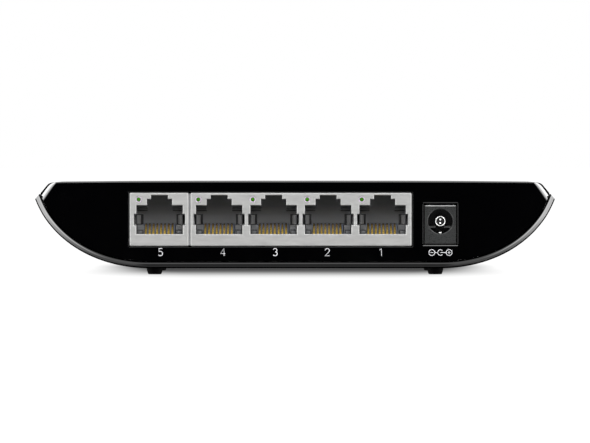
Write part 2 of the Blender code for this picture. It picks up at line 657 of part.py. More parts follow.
def make_board_parts(mats):
    for port, x in PORT_X.items():
        make_lead_block(f"transformer_{port}", (x, -20.0), (11.6, 8.6, 5.2), 6, mats["chip"])
    make_lead_block("switch_chip", CHIP_PLACE[:2], (14.0, 14.0, 1.8), 12, mats["chip"])
    make_lead_block("voltage_regulator", (22.0, -6.0), (6.5, 3.6, 1.9), 3, mats["chip"])
    base = BOARD_TOP + GAP
    pad_z = base + 1.8 + 0.25
    add_object("thermal_pad", box((-6, -6, pad_z), (6, 6, pad_z + 0.3)), mats["pad"], CHIP_PLACE)
    make_heat_sink(mats["aluminium"])
    can = [(0, 0), (3.0, 0), (3.15, 0.5), (3.15, 1.4), (2.95, 1.7), (3.15, 2.0)]
    can += [(3.15, 10.6), (2.8, 11.0), (0, 11.0)]
    add_object("input_capacitor", turned(can), mats["sleeve"], (38.0, -17.5, base))
    add_object("output_capacitor", turned(can), mats["sleeve"], (38.0, -9.5, base))
    add_object("power_inductor", box((-3.4, -3.4, 0), (3.4, 3.4, 3.8)), mats["chip"], (31.0, 0.5, base))
    crystal = bmesh.new()
    stadium(2.3, 5.6, 0, 3.4, (0, 0), crystal, 6)
    add_object("crystal", crystal, mats["shield"], (-22.0, 2.0, base))


def indicator_places():
    count = len(INDICATORS)
    return [(k - (count - 1) / 2) * INDICATOR_PITCH for k in range(count)]


def make_indicators(mats):
    """Small lamps at the board's front edge and the clear guide that carries their light to the end wall."""
    base = BOARD_TOP + GAP
    for name, x in zip(INDICATORS, indicator_places()):
        lamp = box((-1.0, -0.8, base), (1.0, 0.8, base + 1.2))
        add_object(f"indicator_lamp_{name}", lamp, mats["lamp"], (x, BOARD_FRONT - 2.5, 0))
    half = INDICATOR_PITCH * (len(INDICATORS) - 1) / 2 + 2.5
    bar_y = -REAR - END_WALL - GAP - 3.0
    bar = box((-half, bar_y, INDICATOR_Z - 1.3), (half, bar_y + 2.4, INDICATOR_Z + 1.3))
    guide = add_object("front_light_guide", bar, mats["lens"])
    arms = bmesh.new()
    inside_bar, rear = bar_y + 1.2, BOARD_FRONT - 3.3
    low, high, foot = INDICATOR_Z - 1.0, INDICATOR_Z + 1.0, base + 1.5
    elbow = [(inside_bar, low), (inside_bar, high), (rear + 1.5, high), (rear, high - 1.5)]
    elbow += [(rear, foot), (rear + 2.0, foot), (rear + 2.6, low)]
    for x in indicator_places():
        box((x - 1.1, inside_bar, INDICATOR_Z - 0.7), (x + 1.1, -REAR - 0.05, INDICATOR_Z + 0.7), arms)
        side_prism(elbow, 0.9, arms, x)
    combine(guide, "UNION", helper("light_guide_arms", arms))
    guide.modifiers[-1].use_self = True


def make_materials():
    return {
        "case": material("case_plastic", (0.006, 0.006, 0.007), 0.12),
        "rubber": material("foot_rubber", (0.01, 0.01, 0.01), 0.8),
        "shield": material("shield_metal", (0.55, 0.55, 0.54), 0.35, 0.9),
        "housing": material("jack_plastic", (0.035, 0.037, 0.04), 0.45),
        "gold": material("contact_gold", (0.75, 0.5, 0.14), 0.3, 1.0),
        "port_lens": material("port_lens", (0.12, 0.55, 0.05), 0.2),
        "inlet": material("inlet_plastic", (0.045, 0.047, 0.047), 0.5),
        "steel": material("screw_steel", (0.5, 0.5, 0.5), 0.3, 1.0),
        "nickel": material("inlet_nickel", (0.75, 0.74, 0.72), 0.15, 1.0),
        "board": material("board_laminate", (0.02, 0.16, 0.06), 0.4),
        "chip": material("chip_epoxy", (0.02, 0.02, 0.02), 0.6),
        "aluminium": material("heat_sink_aluminium", (0.7, 0.7, 0.72), 0.4, 1.0),
        "pad": material("thermal_pad", (0.5, 0.55, 0.6), 0.8),
        "sleeve": material("capacitor_sleeve", (0.03, 0.04, 0.12), 0.35),
        "lamp": material("lamp_resin", (0.8, 0.8, 0.7), 0.3),
        "lens": material("light_guide_acrylic", (0.85, 0.88, 0.85), 0.1),
        "label": material("label_film", (0.75, 0.75, 0.74), 0.5),
    }


def main():
    clear_scene()
    mats = make_materials()
    make_top_cover(mats["case"])
    make_bottom_shell(mats["case"])
    make_feet(mats["rubber"])
    make_screws(mats["steel"])
    make_label(mats["label"])
    for gang, span, ports in (("single", SINGLE_X, (5,)), ("quad", QUAD_X, (4, 3, 2, 1))):
        make_shield(f"{gang}_jack_shield", span, ports, mats["shield"])
        make_housing(f"{gang}_jack_housing", span, ports, mats["housing"])
    for port in PORT_X:
        make_contacts(port, mats["gold"])
        make_port_led(port, mats["port_lens"])
    make_inlet(mats["inlet"], mats["nickel"])
    make_board(mats["board"])
    make_board_parts(mats)
    make_indicators(mats)


main()
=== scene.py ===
"""The looks of a desktop network switch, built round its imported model.

Lengths are in millimetres in the row frame and become metres where a mesh is made. -Y is the port face.
"""

import math

import bmesh
import bpy
import numpy as np
from mathutils import Matrix, Vector


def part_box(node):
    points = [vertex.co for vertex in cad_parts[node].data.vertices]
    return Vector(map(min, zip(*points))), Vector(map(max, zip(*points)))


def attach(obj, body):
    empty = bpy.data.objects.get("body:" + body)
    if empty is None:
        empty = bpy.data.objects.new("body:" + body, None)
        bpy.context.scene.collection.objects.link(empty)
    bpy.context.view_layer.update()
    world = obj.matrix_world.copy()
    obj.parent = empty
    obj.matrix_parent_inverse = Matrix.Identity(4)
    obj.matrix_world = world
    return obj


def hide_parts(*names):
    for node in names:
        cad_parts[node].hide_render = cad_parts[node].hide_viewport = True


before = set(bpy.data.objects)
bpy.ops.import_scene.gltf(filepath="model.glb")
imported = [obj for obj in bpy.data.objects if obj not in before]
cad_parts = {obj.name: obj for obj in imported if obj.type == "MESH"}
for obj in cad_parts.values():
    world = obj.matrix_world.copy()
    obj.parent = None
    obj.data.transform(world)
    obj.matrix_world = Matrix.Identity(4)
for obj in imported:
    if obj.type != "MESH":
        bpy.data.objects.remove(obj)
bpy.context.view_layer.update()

MM = 0.001
PORTS = (1, 2, 3, 4, 5)


def span(node):
    """The lowest and highest corner of a CAD node, in millimetres."""
    low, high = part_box(node)
    return Vector(low) / MM, Vector(high) / MM


def middle(node):
    low, high = span(node)
    return (low + high) / 2


# --- Driving dimensions ---
SHELL_LOW, SHELL_HIGH = span("bottom_shell")
COVER_HIGH = span("top_cover")[1]
REAR = SHELL_LOW.y
KEEL_Z = SHELL_LOW.z
TIP_X = SHELL_HIGH.x
TIP_Z = 19.35
TIP_ANGLE = math.radians(67)  # the hull's slope where it ends at the tip
KEEL_HALF = 37.5  # half the width of the flat bottom
KEEL_HANDLE, TIP_HANDLE = 11.8, 13.2  # the hull curve's handles, along the bottom and the tip's slope
SHELL = 1.58  # the bottom shell's wall, all of which its rounded rim takes up
SEAM = 1.88  # how far the cover's sides are inside the hull, which leaves a gap beside the shell's wall
HULL_STEPS = 36
BULGE = 0.14  # the hull stands out by this much between the tips
BEVEL_ANGLE = math.radians(50)  # slope of the cover's side bevel
DOME = 0.34  # how far the top's middle rises above its sides
TOP_Z = COVER_HIGH.z - DOME
TOP_ROUND = 2.0  # rounding between the top and a side bevel
TOP_EDGE = 0.1  # rounding between the top and an end wall
EDGE_DOME = 0.16  # the part of the dome that an end wall's top edge has too
FACE_INSET = 1.0  # how much narrower an end wall's flat face is than the top, at each side
FACE = REAR + 0.06  # the cover's end wall, set back so that raised marks stay within the case's depth
CORNER_FIRST_T = 0.965  # where the end wall's flat face meets the seam
CORNER_LAST_T = 0.9  # where the corner's rounding ends
END_WALL = 1.8
TOP_WALL = 1.6
LIP = 1.3  # thickness of the cover's sides, which reach down inside the shell
LIP_END_Z = 17.0

# A rounding is a list of arcs, each (start angle, end angle, width across). Angles are from the end face.
RIM_ARCS = (
    (0, 3, 0.2), (6, 28, 0.35), (29.5, 32.5, 0.29), (33.5, 38, 0.36), (38, 62, 0.03), (62, 90, 0.35),
)
CORNER_ARCS = ((7, 22, 0.25), (22, 55, 0.46), (57, 90, 0.29))

SINGLE_LOW, SINGLE_HIGH = span("single_jack_shield")
QUAD_LOW, QUAD_HIGH = span("quad_jack_shield")
JACK_FACE = QUAD_LOW.y
JACK_Z = (QUAD_LOW.z, QUAD_HIGH.z)
SHEET = 0.4
PORT_X = {port: middle(f"port_{port}_contacts").x for port in PORTS}
FLOOR_Z = 10.45
SHOULDER_Z = 17.8
LATCH_STEP_Z = 19.4
LATCH_TOP_Z = 20.4
MOUTH_HALF = 5.93
LATCH_STEP_HALF = 3.2
LATCH_HALF = 2.15
NOTCH_HALF = 6.55
NOTCH_Z = (12.75, 15.55)
CAVITY_BACK = REAR + 13.0
PIVOT_Y, PIVOT_Z = REAR + 2.5, 9.7
CONTACT_PITCH, CONTACT_COUNT = 0.975, 8
CONTACT_SHIFT = -0.2  # the contact rows stand a little to one side of their jacks' centres
CONTACT_WIDE, CONTACT_THICK = 0.5, 0.34

INLET_LOW, INLET_HIGH = span("power_inlet_body")
INLET_X = middle("power_inlet_pin").x
INLET_Z = middle("power_inlet_pin").z
BORE_R, BORE_DEPTH = 3.2, 9.6
WINDOW_HALF, WINDOW_Z = 4.45, (7.75, 18.3)
WINDOW_FLARES = (-0.4, 0.3)  # how far the inlet window's lower and upper edges widen towards the face

CORNERS = [f"{end}_{side}" for end in ("rear", "front") for side in ("left", "right")]
SCREWS = [f"case_screw_{corner}" for corner in CORNERS]
SCREW_PLACES = [tuple(middle(node).xy) for node in SCREWS]
LAMPS = [f"indicator_lamp_{name}" for name in ("power", 1, 2, 3, 4, 5)]
LAMP_Z = 12.0


# --- Objects and meshes ---
def add_object(name, data):
    obj = bpy.data.objects.new(name, data)
    bpy.context.scene.collection.objects.link(obj)
    return obj


def mesh_object(name, bm):
    bmesh.ops.recalc_face_normals(bm, faces=bm.faces)
    bmesh.ops.scale(bm, vec=(MM, MM, MM), verts=bm.verts)
    mesh = bpy.data.meshes.new(name)
    bm.to_mesh(mesh)
    bm.free()
    return add_object(name, mesh)


def bake_modifiers(obj):
    graph = bpy.context.evaluated_depsgraph_get()
    mesh = bpy.data.meshes.new_from_object(obj.evaluated_get(graph), depsgraph=graph)
    obj.modifiers.clear()
    obj.data = mesh


def combine(obj, operation, *tools):
    """Applies a Boolean with each shape in turn, which is used up."""
    for bm in tools:
        tool = mesh_object("tool", bm)
        modifier = obj.modifiers.new("Combine", "BOOLEAN")
        modifier.operation = operation
        modifier.object = tool
        modifier.solver = "MANIFOLD"
        bake_modifiers(obj)
        bpy.data.objects.remove(tool)


def soften(obj, width, angle=40):
    """Rounds an object's hard edges, so that they catch the light."""
    modifier = obj.modifiers.new("Edges", "BEVEL")
    modifier.width = width * MM
    modifier.segments = 2
    modifier.limit_method = "ANGLE"
    modifier.angle_limit = math.radians(angle)
    bake_modifiers(obj)


def show(obj, mat, slot, body="case", stands_for=None, smooth=32, weighted=True):
    """Gives a piece its material and shading, and fastens it to its body."""
    obj.data.materials.clear()
    obj.data.materials.append(mat)
    obj.data.shade_smooth()
    obj.data.set_sharp_from_angle(angle=math.radians(smooth))
    if weighted:
        modifier = obj.modifiers.new("Normals", "WEIGHTED_NORMAL")
        modifier.keep_sharp = True
    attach(obj, body)
    if stands_for:
        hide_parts(stands_for)


def add_piece(name, bm, mat, slot, edges=0.0, **looks):
    """A finished piece from a shape. Its hard edges are rounded by edges, if that isn't 0."""
    obj = mesh_object(name, bm)
    if edges:
        soften(obj, edges)
    show(obj, mat, slot, **looks)


def skin(rings):
    """A closed skin through rings of points, each with the same number of them."""
    bm = bmesh.new()
    rings = [[bm.verts.new(point) for point in ring] for ring in rings]
    for near, far in zip(rings, rings[1:]):
        for i in range(len(near)):
            j = (i + 1) % len(near)
            bm.faces.new((near[i], near[j], far[j], far[i]))
    bm.faces.new(rings[0])
    bm.faces.new(rings[-1])
    return bm


def loft(sections):
    """A skin through sections, each a y and an outline of (x, z) points."""
    return skin([[(x, y, z) for x, z in outline] for y, outline in sections])


def prism(outline, y0, y1):
    return loft([(y0, outline), (y1, outline)])


def side_prism(outline, low_x, high_x):
    """A (y, z) outline extruded along x."""
    return skin([[(x, y, z) for y, z in outline] for x in (low_x, high_x)])


def plate(outline, low_z, high_z):
    """An (x, y) outline extruded along z."""
    return skin([[(x, y, z) for x, y in outline] for z in (low_z, high_z)])


def merge(*parts):
    """One bmesh from several."""
    whole = bmesh.new()
    for part in parts:
        bmesh.ops.recalc_face_normals(part, faces=part.faces)
        mesh = bpy.data.meshes.new("part")
        part.to_mesh(mesh)
        part.free()
        whole.from_mesh(mesh)
        bpy.data.meshes.remove(mesh)
    return whole


def box(low, high):
    bm = bmesh.new()
    low, high = Vector(low), Vector(high)
    matrix = Matrix.Translation((low + high) / 2) @ Matrix.Diagonal((*(high - low), 1))
    bmesh.ops.create_cube(bm, size=1, matrix=matrix)
    return bm


def cylinder(radius, low, high, segments=48):
    bm = bmesh.new()
    low, high = Vector(low), Vector(high)
    turn = (high - low).to_track_quat("Z", "Y").to_matrix().to_4x4()
    bmesh.ops.create_cone(
        bm, cap_ends=True, segments=segments, radius1=radius, radius2=radius, depth=(high - low).length,
        matrix=Matrix.Translation((low + high) / 2) @ turn,
    )
    return bm


def turned(profile, place, along="z", segments=64):
    """A (radius, distance) profile turned about an axis through place. Its ends are on the axis."""
    bm = bmesh.new()
    rings = [[bm.verts.new((0, 0, profile[0][1]))]]
    for radius, height in profile[1:-1]:
        angles = [math.tau * k / segments for k in range(segments)]
        rings.append([bm.verts.new((radius * math.cos(a), radius * math.sin(a), height)) for a in angles])
    rings.append([bm.verts.new((0, 0, profile[-1][1]))])
    for near, far in zip(rings, rings[1:]):
        for k in range(segments):
            n = (k + 1) % segments
            corners = [near[k % len(near)], near[n % len(near)], far[n % len(far)], far[k % len(far)]]
            bm.faces.new(list(dict.fromkeys(corners)))
    turn = {"z": Matrix(), "y": Matrix.Rotation(-math.pi / 2, 4, "X")}[along]
    bmesh.ops.transform(bm, matrix=Matrix.Translation(place) @ turn, verts=bm.verts)
    return bm


def arc(centre, radius, start, end, steps):
    """Points on a circle, or on an ellipse if radius is a pair. Angles are in degrees."""
    across, up = radius if isinstance(radius, tuple) else (radius, radius)
    angles = np.radians(np.linspace(start, end, steps + 1))
    return [(centre[0] + across * math.cos(a), centre[1] + up * math.sin(a)) for a in angles]


def rounded_rectangle(low, high, radius, steps):
    (x0, z0), (x1, z1) = low, high
    corners = ((x1 - radius, z0 + radius, -90), (x1 - radius, z1 - radius, 0))
    corners += ((x0 + radius, z1 - radius, 90), (x0 + radius, z0 + radius, 180))
    return [point for x, z, a in corners for point in arc((x, z), radius, a, a + 90, steps)]


def offset(outline, distance):
    """A closed outline moved outwards by distance, its corners mitred."""
    points = np.array(outline, float)
    before, after = np.roll(points, 1, 0), np.roll(points, -1, 0)
    area = np.sum(points[:, 0] * after[:, 1] - after[:, 0] * points[:, 1])
    normals = []
    for start, end in ((before, points), (points, after)):
        along = end - start
        normal = np.stack((along[:, 1], -along[:, 0]), 1) / np.linalg.norm(along, axis=1)[:, None]
        normals.append(normal * np.sign(area))
    total = normals[0] + normals[1]
    shift = total / (1 + np.sum(normals[0] * normals[1], axis=1))[:, None]
    return [tuple(point) for point in points + distance * shift]


def quarter_round(outline, face, end, radius, outward, steps=5):
    """Sections from face to end with the edge at face rounded: outwards for a hole, inwards for a block."""
    sign = 1 if outward else -1
    sections = []
    for a in np.radians(np.linspace(0, 90, steps + 1)):
        grown = offset(outline, sign * radius * (1 - math.sin(a)))
        sections.append((face + radius * (1 - math.cos(a)), grown))
    return sections + [(end, outline)]


def hole(outline, face, end, radius, steps=5):
    """A cutter for a hole with a rounded mouth at face."""
    sections = quarter_round(outline, face, end, radius, True, steps)
    return loft([(face - 1.0, sections[0][1])] + sections)


def thickened(path, thickness):
    """The closed outline of a sheet or wire whose middle follows path."""
    points = np.array(path)
    along = np.gradient(points, axis=0)
    across = np.stack((-along[:, 1], along[:, 0]), 1) / np.linalg.norm(along, axis=1)[:, None]
    return [*(points + across * thickness / 2), *(points - across * thickness / 2)[::-1]]


def arcs_profile(arcs):
    """(across, back) points of a rounding, from its arcs."""
    across, back = [0.0], [0.0]
    for start, end, width in arcs:
        angles = np.radians(np.linspace(start, end, 6))
        radius = width / (math.sin(angles[-1]) - math.sin(angles[0]))
        base, deep = across[-1], back[-1]
        across += [base + radius * (math.sin(a) - math.sin(angles[0])) for a in angles[1:]]
        back += [deep + radius * (math.cos(angles[0]) - math.cos(a)) for a in angles[1:]]
    return np.array(across), np.array(back)


# --- Case outline ---
def hull_point(t, inset):
    """A point of the hull's right side, from keel (t 0) to tip (t 1), moved inwards by inset."""
    ends = np.array([
        (KEEL_HALF, KEEL_Z),
        (KEEL_HALF + KEEL_HANDLE, KEEL_Z),
        (TIP_X - TIP_HANDLE * math.cos(TIP_ANGLE), TIP_Z - TIP_HANDLE * math.sin(TIP_ANGLE)),
        (TIP_X, TIP_Z),
    ])
    u = 1 - t
    inset -= BULGE * min(1, 8 * u)  # fades over the last eighth
    weights = np.array((u**3, 3 * u**2 * t, 3 * u * t**2, t**3))
    slopes = np.array((-(u**2), u**2 - 2 * u * t, 2 * u * t - t**2, t**2))
    x, z = weights @ ends
    dx, dz = slopes @ ends
    length = math.hypot(dx, dz)
    return x - inset * dz / length, z + inset * dx / length


def hull_side(inset, first=0.0, last=1.0, steps=HULL_STEPS):
    return [hull_point(first + (last - first) * k / steps, inset) for k in range(steps + 1)]


def tip_corner(hull_inset, bevel_inset):
    """Where the hull's end, continued, meets the side bevel, each moved inwards."""
    hull_normal = (-math.sin(TIP_ANGLE), math.cos(TIP_ANGLE))
    bevel_normal = (-math.sin(BEVEL_ANGLE), -math.cos(BEVEL_ANGLE))
    x, z = np.linalg.solve(np.array((hull_normal, bevel_normal)), (hull_inset, bevel_inset))
    return TIP_X + x, TIP_Z + z


def bevel_x(z, inset=0.0):
    return TIP_X - (z - TIP_Z) / math.tan(BEVEL_ANGLE) - inset / math.sin(BEVEL_ANGLE)


def both_sides(right):
    """A closed outline from its right half, listed from the middle round to the middle."""
    return [(-x, z) for x, z in reversed(right) if x > 0] + right


def along_line(start, end, like):
    """Points on the line from start to end, spread as the points of like are along their own path."""
    run = np.concatenate(([0], np.cumsum(np.hypot(*np.diff(np.array(like), axis=0).T))))
    start, end = np.array(start), np.array(end)
    return [tuple(start + (end - start) * share) for share in run / run[-1]]


def cover_outline(back, y):
    """The cover's outer outline at a distance back from its nearer end wall's face."""
    drop = TOP_EDGE * (1 - math.sqrt(1 - (1 - min(back / TOP_EDGE, 1)) ** 2))
    start_x = bevel_x(TOP_Z) - TOP_ROUND * math.tan(BEVEL_ANGLE / 2)
    turns = np.linspace(0, BEVEL_ANGLE, 11)
    rounding = [(start_x + TOP_ROUND * math.sin(a), TOP_Z - TOP_ROUND * (1 - math.cos(a))) for a in turns]
    even = [(k, 0) for k in range(7)]
    bevel = along_line(rounding[-1], tip_corner(SEAM, 0), even)[1:]
    full_side = rounding + bevel + hull_side(SEAM, 1.0, CORNER_LAST_T, 5)
    seam = hull_side(SEAM, CORNER_FIRST_T, CORNER_LAST_T, 5)
    face_side = along_line((start_x - FACE_INSET, TOP_Z), seam[0], rounding + bevel) + seam
    side = [corner_point(near, far, back) for near, far in zip(face_side, full_side)]
    dome = EDGE_DOME + (DOME - EDGE_DOME) * (1 - (y / REAR) ** 2)
    top = [(x, TOP_Z + dome * (1 - (x / side[0][0]) ** 4)) for x in np.linspace(0, side[0][0], 25)[:-1]]
    hull = hull_side(SEAM, CORNER_LAST_T - 0.02, 0.0, HULL_STEPS)
    lowered = [(x, z - drop if z > TOP_Z - 0.01 else z) for x, z in top + side]
    return both_sides([(float(x), float(z)) for x, z in lowered + hull])


def corner_point(near, far, back):
    """A point that goes from near, on the end wall's face, out to far along the corner's rounding."""
    near, far = np.array(near), np.array(far)
    width = np.linalg.norm(far - near)
    widths, backs = arcs_profile(CORNER_ARCS)
    share = np.interp(back / max(width, 0.01), backs, widths)
    return tuple(near + share * (far - near))


def cover_sections():
    corner = arcs_profile(CORNER_ARCS)[1]
    widest = math.dist((bevel_x(TOP_Z), TOP_Z), (TIP_X, TIP_Z)) * 0.55
    edge = TOP_EDGE * (1 - np.cos(np.radians(np.linspace(0, 90, 6))))
    backs = sorted(np.concatenate([corner * widest * share for share in (0.12, 0.3, 0.6, 1)] + [edge]))
    kept = [0.0]
    for back in backs:
        if back - kept[-1] > 0.012:
            kept.append(float(back))
    ys = [FACE + back for back in kept] + list(np.linspace(REAR * 0.82, 0, 8))
    ys += [-y for y in reversed(ys[:-1])]
    return [(y, cover_outline(abs(FACE) - abs(y), y)) for y in ys]


def shell_outline(inset):
    outside = hull_side(inset) + [tip_corner(inset, 0)]
    inside = [tip_corner(SHELL, 0)] + hull_side(SHELL, 1.0, 0.0)
    half = [(float(x), float(z)) for x, z in outside + inside]
    return half + [(-x, z) for x, z in reversed(half)]


def shell_sections():
    widths, backs = arcs_profile(RIM_ARCS)
    ends = [(REAR + back, SHELL - width) for width, back in zip(widths[1:], backs[1:])]
    stations = ends + [(-y, max(inset, 0)) for y, inset in reversed(ends)]
    return [(y, shell_outline(max(inset, 0.0))) for y, inset in stations]


# --- Materials ---
def material(name, colour, roughness, metallic=0.0, **sockets):
    mat = bpy.data.materials.new(name)
    mat.use_nodes = True
    shader = mat.node_tree.nodes["Principled BSDF"]
    values = {"Base Color": (*colour, 1.0), "Roughness": roughness, "Metallic": metallic, **sockets}
    for socket, value in values.items():
        shader.inputs[socket].default_value = value
    return mat


def add_node(owner, kind, **inputs):
    """A node of a material or the world, with the values of its sockets."""
    node = owner.node_tree.nodes.new(kind)
    for socket, value in inputs.items():
        node.inputs[socket.replace("_", " ")].default_value = value
    return node


def link(owner, output, socket):
    owner.node_tree.links.new(output, socket)


def feed(mat, output, socket):
    """Links an output to a socket of the material's shader."""
    link(mat, output, mat.node_tree.nodes["Principled BSDF"].inputs[socket])


def place_of(owner, output):
    """The x, y and z of a point in the row frame (Object, in metres) or of a direction (Generated)."""
    coordinates = add_node(owner, "ShaderNodeTexCoord")
    parts = add_node(owner, "ShaderNodeSeparateXYZ")
    link(owner, coordinates.outputs[output], parts.inputs["Vector"])
    return parts.outputs


def colour_ramp(mat, place, stops):
    """Colours along an axis, each stop a distance in millimetres and a colour."""
    low, high = stops[0][0] * MM, stops[-1][0] * MM
    spread = add_node(mat, "ShaderNodeMapRange", From_Min=low, From_Max=high)
    ramp = add_node(mat, "ShaderNodeValToRGB")
    elements = ramp.color_ramp.elements
    while len(elements) < len(stops):
        elements.new(0.5)
    for element, (distance, colour) in zip(elements, stops):
        element.position = (distance * MM - low) / (high - low)
        element.color = (*colour, 1)
    link(mat, place, spread.inputs["Value"])
    link(mat, spread.outputs["Result"], ramp.inputs["Fac"])
    return ramp.outputs["Color"]


def pattern(mat, scale, stretch=(1, 1, 1), detail=4.0):
    """A noise texture in the row frame. scale is in marks per metre before stretching."""
    coordinates = add_node(mat, "ShaderNodeTexCoord")
    mapping = add_node(mat, "ShaderNodeMapping", Scale=stretch)
    noise = add_node(mat, "ShaderNodeTexNoise", Scale=scale, Detail=detail, Roughness=0.55)
    link(mat, coordinates.outputs["Object"], mapping.inputs["Vector"])
    link(mat, mapping.outputs["Vector"], noise.inputs["Vector"])
    return noise


def vary_roughness(mat, noise, low, high):
    spread = add_node(mat, "ShaderNodeMapRange", From_Min=0.3, From_Max=0.7, To_Min=low, To_Max=high)
    link(mat, noise.outputs["Fac"], spread.inputs["Value"])
    feed(mat, spread.outputs["Result"], "Roughness")


def vary_colour(mat, noise, dark, light):
    ramp = add_node(mat, "ShaderNodeValToRGB")
    ramp.color_ramp.elements[0].position = 0.35
    ramp.color_ramp.elements[0].color = (*dark, 1)
    ramp.color_ramp.elements[1].position = 0.65
    ramp.color_ramp.elements[1].color = (*light, 1)
    link(mat, noise.outputs["Fac"], ramp.inputs["Fac"])
    feed(mat, ramp.outputs["Color"], "Base Color")


def add_bump(mat, noise, depth):
    """Bump from the noise, depth in millimetres."""
    bump = add_node(mat, "ShaderNodeBump", Strength=1.0, Distance=depth * MM)
    link(mat, noise.outputs["Fac"], bump.inputs["Height"])
    feed(mat, bump.outputs["Normal"], "Normal")


def gloss_black():
    mat = material("gloss_black", (0.0003, 0.0003, 0.0004), 0.06, **{"Specular IOR Level": 1.0})
    vary_roughness(mat, pattern(mat, 120), 0.035, 0.085)
    add_bump(mat, pattern(mat, 260, detail=2), 0.0006)
    return mat


def rubber():
    mat = material("foot_rubber", (0.001, 0.001, 0.001), 0.6, **{"Specular IOR Level": 0.01})
    vary_roughness(mat, pattern(mat, 2500), 0.5, 0.75)
    add_bump(mat, pattern(mat, 9000), 0.02)
    return mat


def shield_metal():
    mat = material("shield_metal", (0.3, 0.3, 0.295), 0.42, 0.5)
    vary_colour(mat, pattern(mat, 300, (1, 1, 4)), (0.2, 0.2, 0.197), (0.225, 0.225, 0.221))
    vary_roughness(mat, pattern(mat, 900, (0.4, 1, 3)), 0.36, 0.5)
    add_bump(mat, pattern(mat, 6000, (0.2, 1, 2)), 0.004)
    return mat


def contact_gold():
    """Gold that is painted darker, through brown to near black, towards the wires' tips: painted shade
    deeper in the jack.
    """
    mat = material("contact_gold", (0.8, 0.52, 0.13), 0.3, 0.45)
    grade_colour(mat, [(11.4, (0.62, 0.41, 0.08)), (12.7, (0.4, 0.25, 0.06)), (13.15, (0.04, 0.02, 0.006))])
    vary_roughness(mat, pattern(mat, 5000, (4, 0.5, 1)), 0.2, 0.36)
    return mat


def moulded(name, colour, low=0.4, high=0.6, grain=4500, specular=0.5):
    mat = material(name, colour, (low + high) / 2, **{"Specular IOR Level": specular})
    noise = pattern(mat, grain)
    vary_roughness(mat, noise, low, high)
    vary_colour(mat, pattern(mat, 400), tuple(c * 0.9 for c in colour), tuple(c * 1.1 for c in colour))
    add_bump(mat, noise, 0.008)
    return mat


def grade_colour(mat, stops):
    """Colours by height, each stop a height in millimetres and a colour."""
    feed(mat, colour_ramp(mat, place_of(mat, "Object")["Z"], stops), "Base Color")


def jack_plastic():
    """Dark plastic, painted paler towards the floor of each jack and darker towards its top: painted light
    and shade in the cavity.
    """
    mat = material("jack_plastic", (0.1, 0.1, 0.1), 0.5)
    painted_shade_levels = (
        (12.5, 0.36), (13.6, 0.34), (14.3, 0.27), (15.1, 0.21), (15.8, 0.15),
        (16.6, 0.095), (17.4, 0.055), (18.1, 0.033), (20.0, 0.022),
    )
    grade_colour(mat, [(z, (level, level * 1.01, level * 1.03)) for z, level in painted_shade_levels])
    noise = pattern(mat, 4500)
    vary_roughness(mat, noise, 0.4, 0.6)
    add_bump(mat, noise, 0.008)
    return mat


def board_laminate():
    """Green solder mask over a regular copper pattern."""
    mat = material("board_laminate", (0.02, 0.16, 0.06), 0.35, **{"Coat Weight": 0.4})
    coordinates = add_node(mat, "ShaderNodeTexCoord")
    bricks = add_node(
        mat, "ShaderNodeTexBrick", Scale=220.0, Mortar_Size=0.06,
        Color1=(0.012, 0.11, 0.04, 1), Color2=(0.02, 0.15, 0.055, 1), Mortar=(0.05, 0.26, 0.1, 1),
    )
    link(mat, coordinates.outputs["Object"], bricks.inputs["Vector"])
    feed(mat, bricks.outputs["Color"], "Base Color")
    vary_roughness(mat, pattern(mat, 800), 0.3, 0.45)
    return mat


def metal(name, colour, low, high, stretch=(1, 1, 1)):
    mat = material(name, colour, (low + high) / 2, 1.0)
    vary_roughness(mat, pattern(mat, 2500, stretch), low, high)
    return mat


# --- Case ---
COVER_POST_R, COVER_POST_Z = 3.0, 10.3  # the cover's screw posts, and where they end
SHELL_POST_R, SHELL_POST_Z = 4.3, 10.0  # the shell's posts round the screws
BOARD_POSTS, BOARD_POST_Z = ((42, 27, 3.0), (43.5, -24, 2.5)), 5.1  # x, y and radius of one on each side
VENT_COUNT, VENT_PITCH, VENT_Y = 8, 5.2, 29.0
LAMP_WINDOW = (1.4, 1.0)  # half the width and half the height of a lamp's window


def window_outline(low_x, high_x, low_z, high_z):
    return rounded_rectangle((low_x, low_z), (high_x, high_z), 0.2, 3)


def make_cover(mat):
    cover = mesh_object("cover", loft(cover_sections()))
    ceiling = TOP_Z - TOP_WALL
    inset = SEAM + LIP
    lip = [point for point in hull_side(inset, 1.0, 0.8, 8) if point[1] > LIP_END_Z]
    half = [(0, ceiling), (bevel_x(ceiling, TOP_WALL), ceiling), tip_corner(inset, TOP_WALL)] + lip
    half += [(lip[-1][0], LIP_END_Z), (TIP_X + 1, LIP_END_Z), (TIP_X + 1, -1), (0, -1)]
    inside = REAR + END_WALL + 1
    gap = 0.2
    jack = window_outline(SINGLE_LOW.x - gap, QUAD_HIGH.x + gap, JACK_Z[0] - gap, JACK_Z[1] + gap)
    inlet = window_outline(INLET_X - WINDOW_HALF, INLET_X + WINDOW_HALF, *WINDOW_Z)
    combine(cover, "DIFFERENCE", hole(jack, FACE, inside, 0.04, 2))
    combine(cover, "DIFFERENCE", hole(inlet, FACE, inside, 0.06, 2))
    combine(cover, "DIFFERENCE", *map(window_edge, WINDOW_Z, WINDOW_FLARES))
    windows = []
    for lamp in LAMPS:
        x = middle(lamp).x
        half_x, half_z = LAMP_WINDOW
        outline = window_outline(x - half_x, x + half_x, LAMP_Z - half_z, LAMP_Z + half_z)
        cutter = hole(outline, FACE, inside, 0.2)
        bmesh.ops.scale(cutter, vec=(1, -1, 1), verts=cutter.verts)
        windows.append(cutter)
    combine(cover, "DIFFERENCE", merge(*windows))
    combine(cover, "DIFFERENCE", prism(both_sides(half), REAR + END_WALL, -REAR - END_WALL))
    top_z = ceiling + TOP_WALL / 2
    posts = [cylinder(COVER_POST_R, (x, y, COVER_POST_Z), (x, y, top_z)) for x, y in SCREW_PLACES]
    combine(cover, "UNION", merge(*posts))
    show(cover, mat, "case_plastic", stands_for="top_cover")


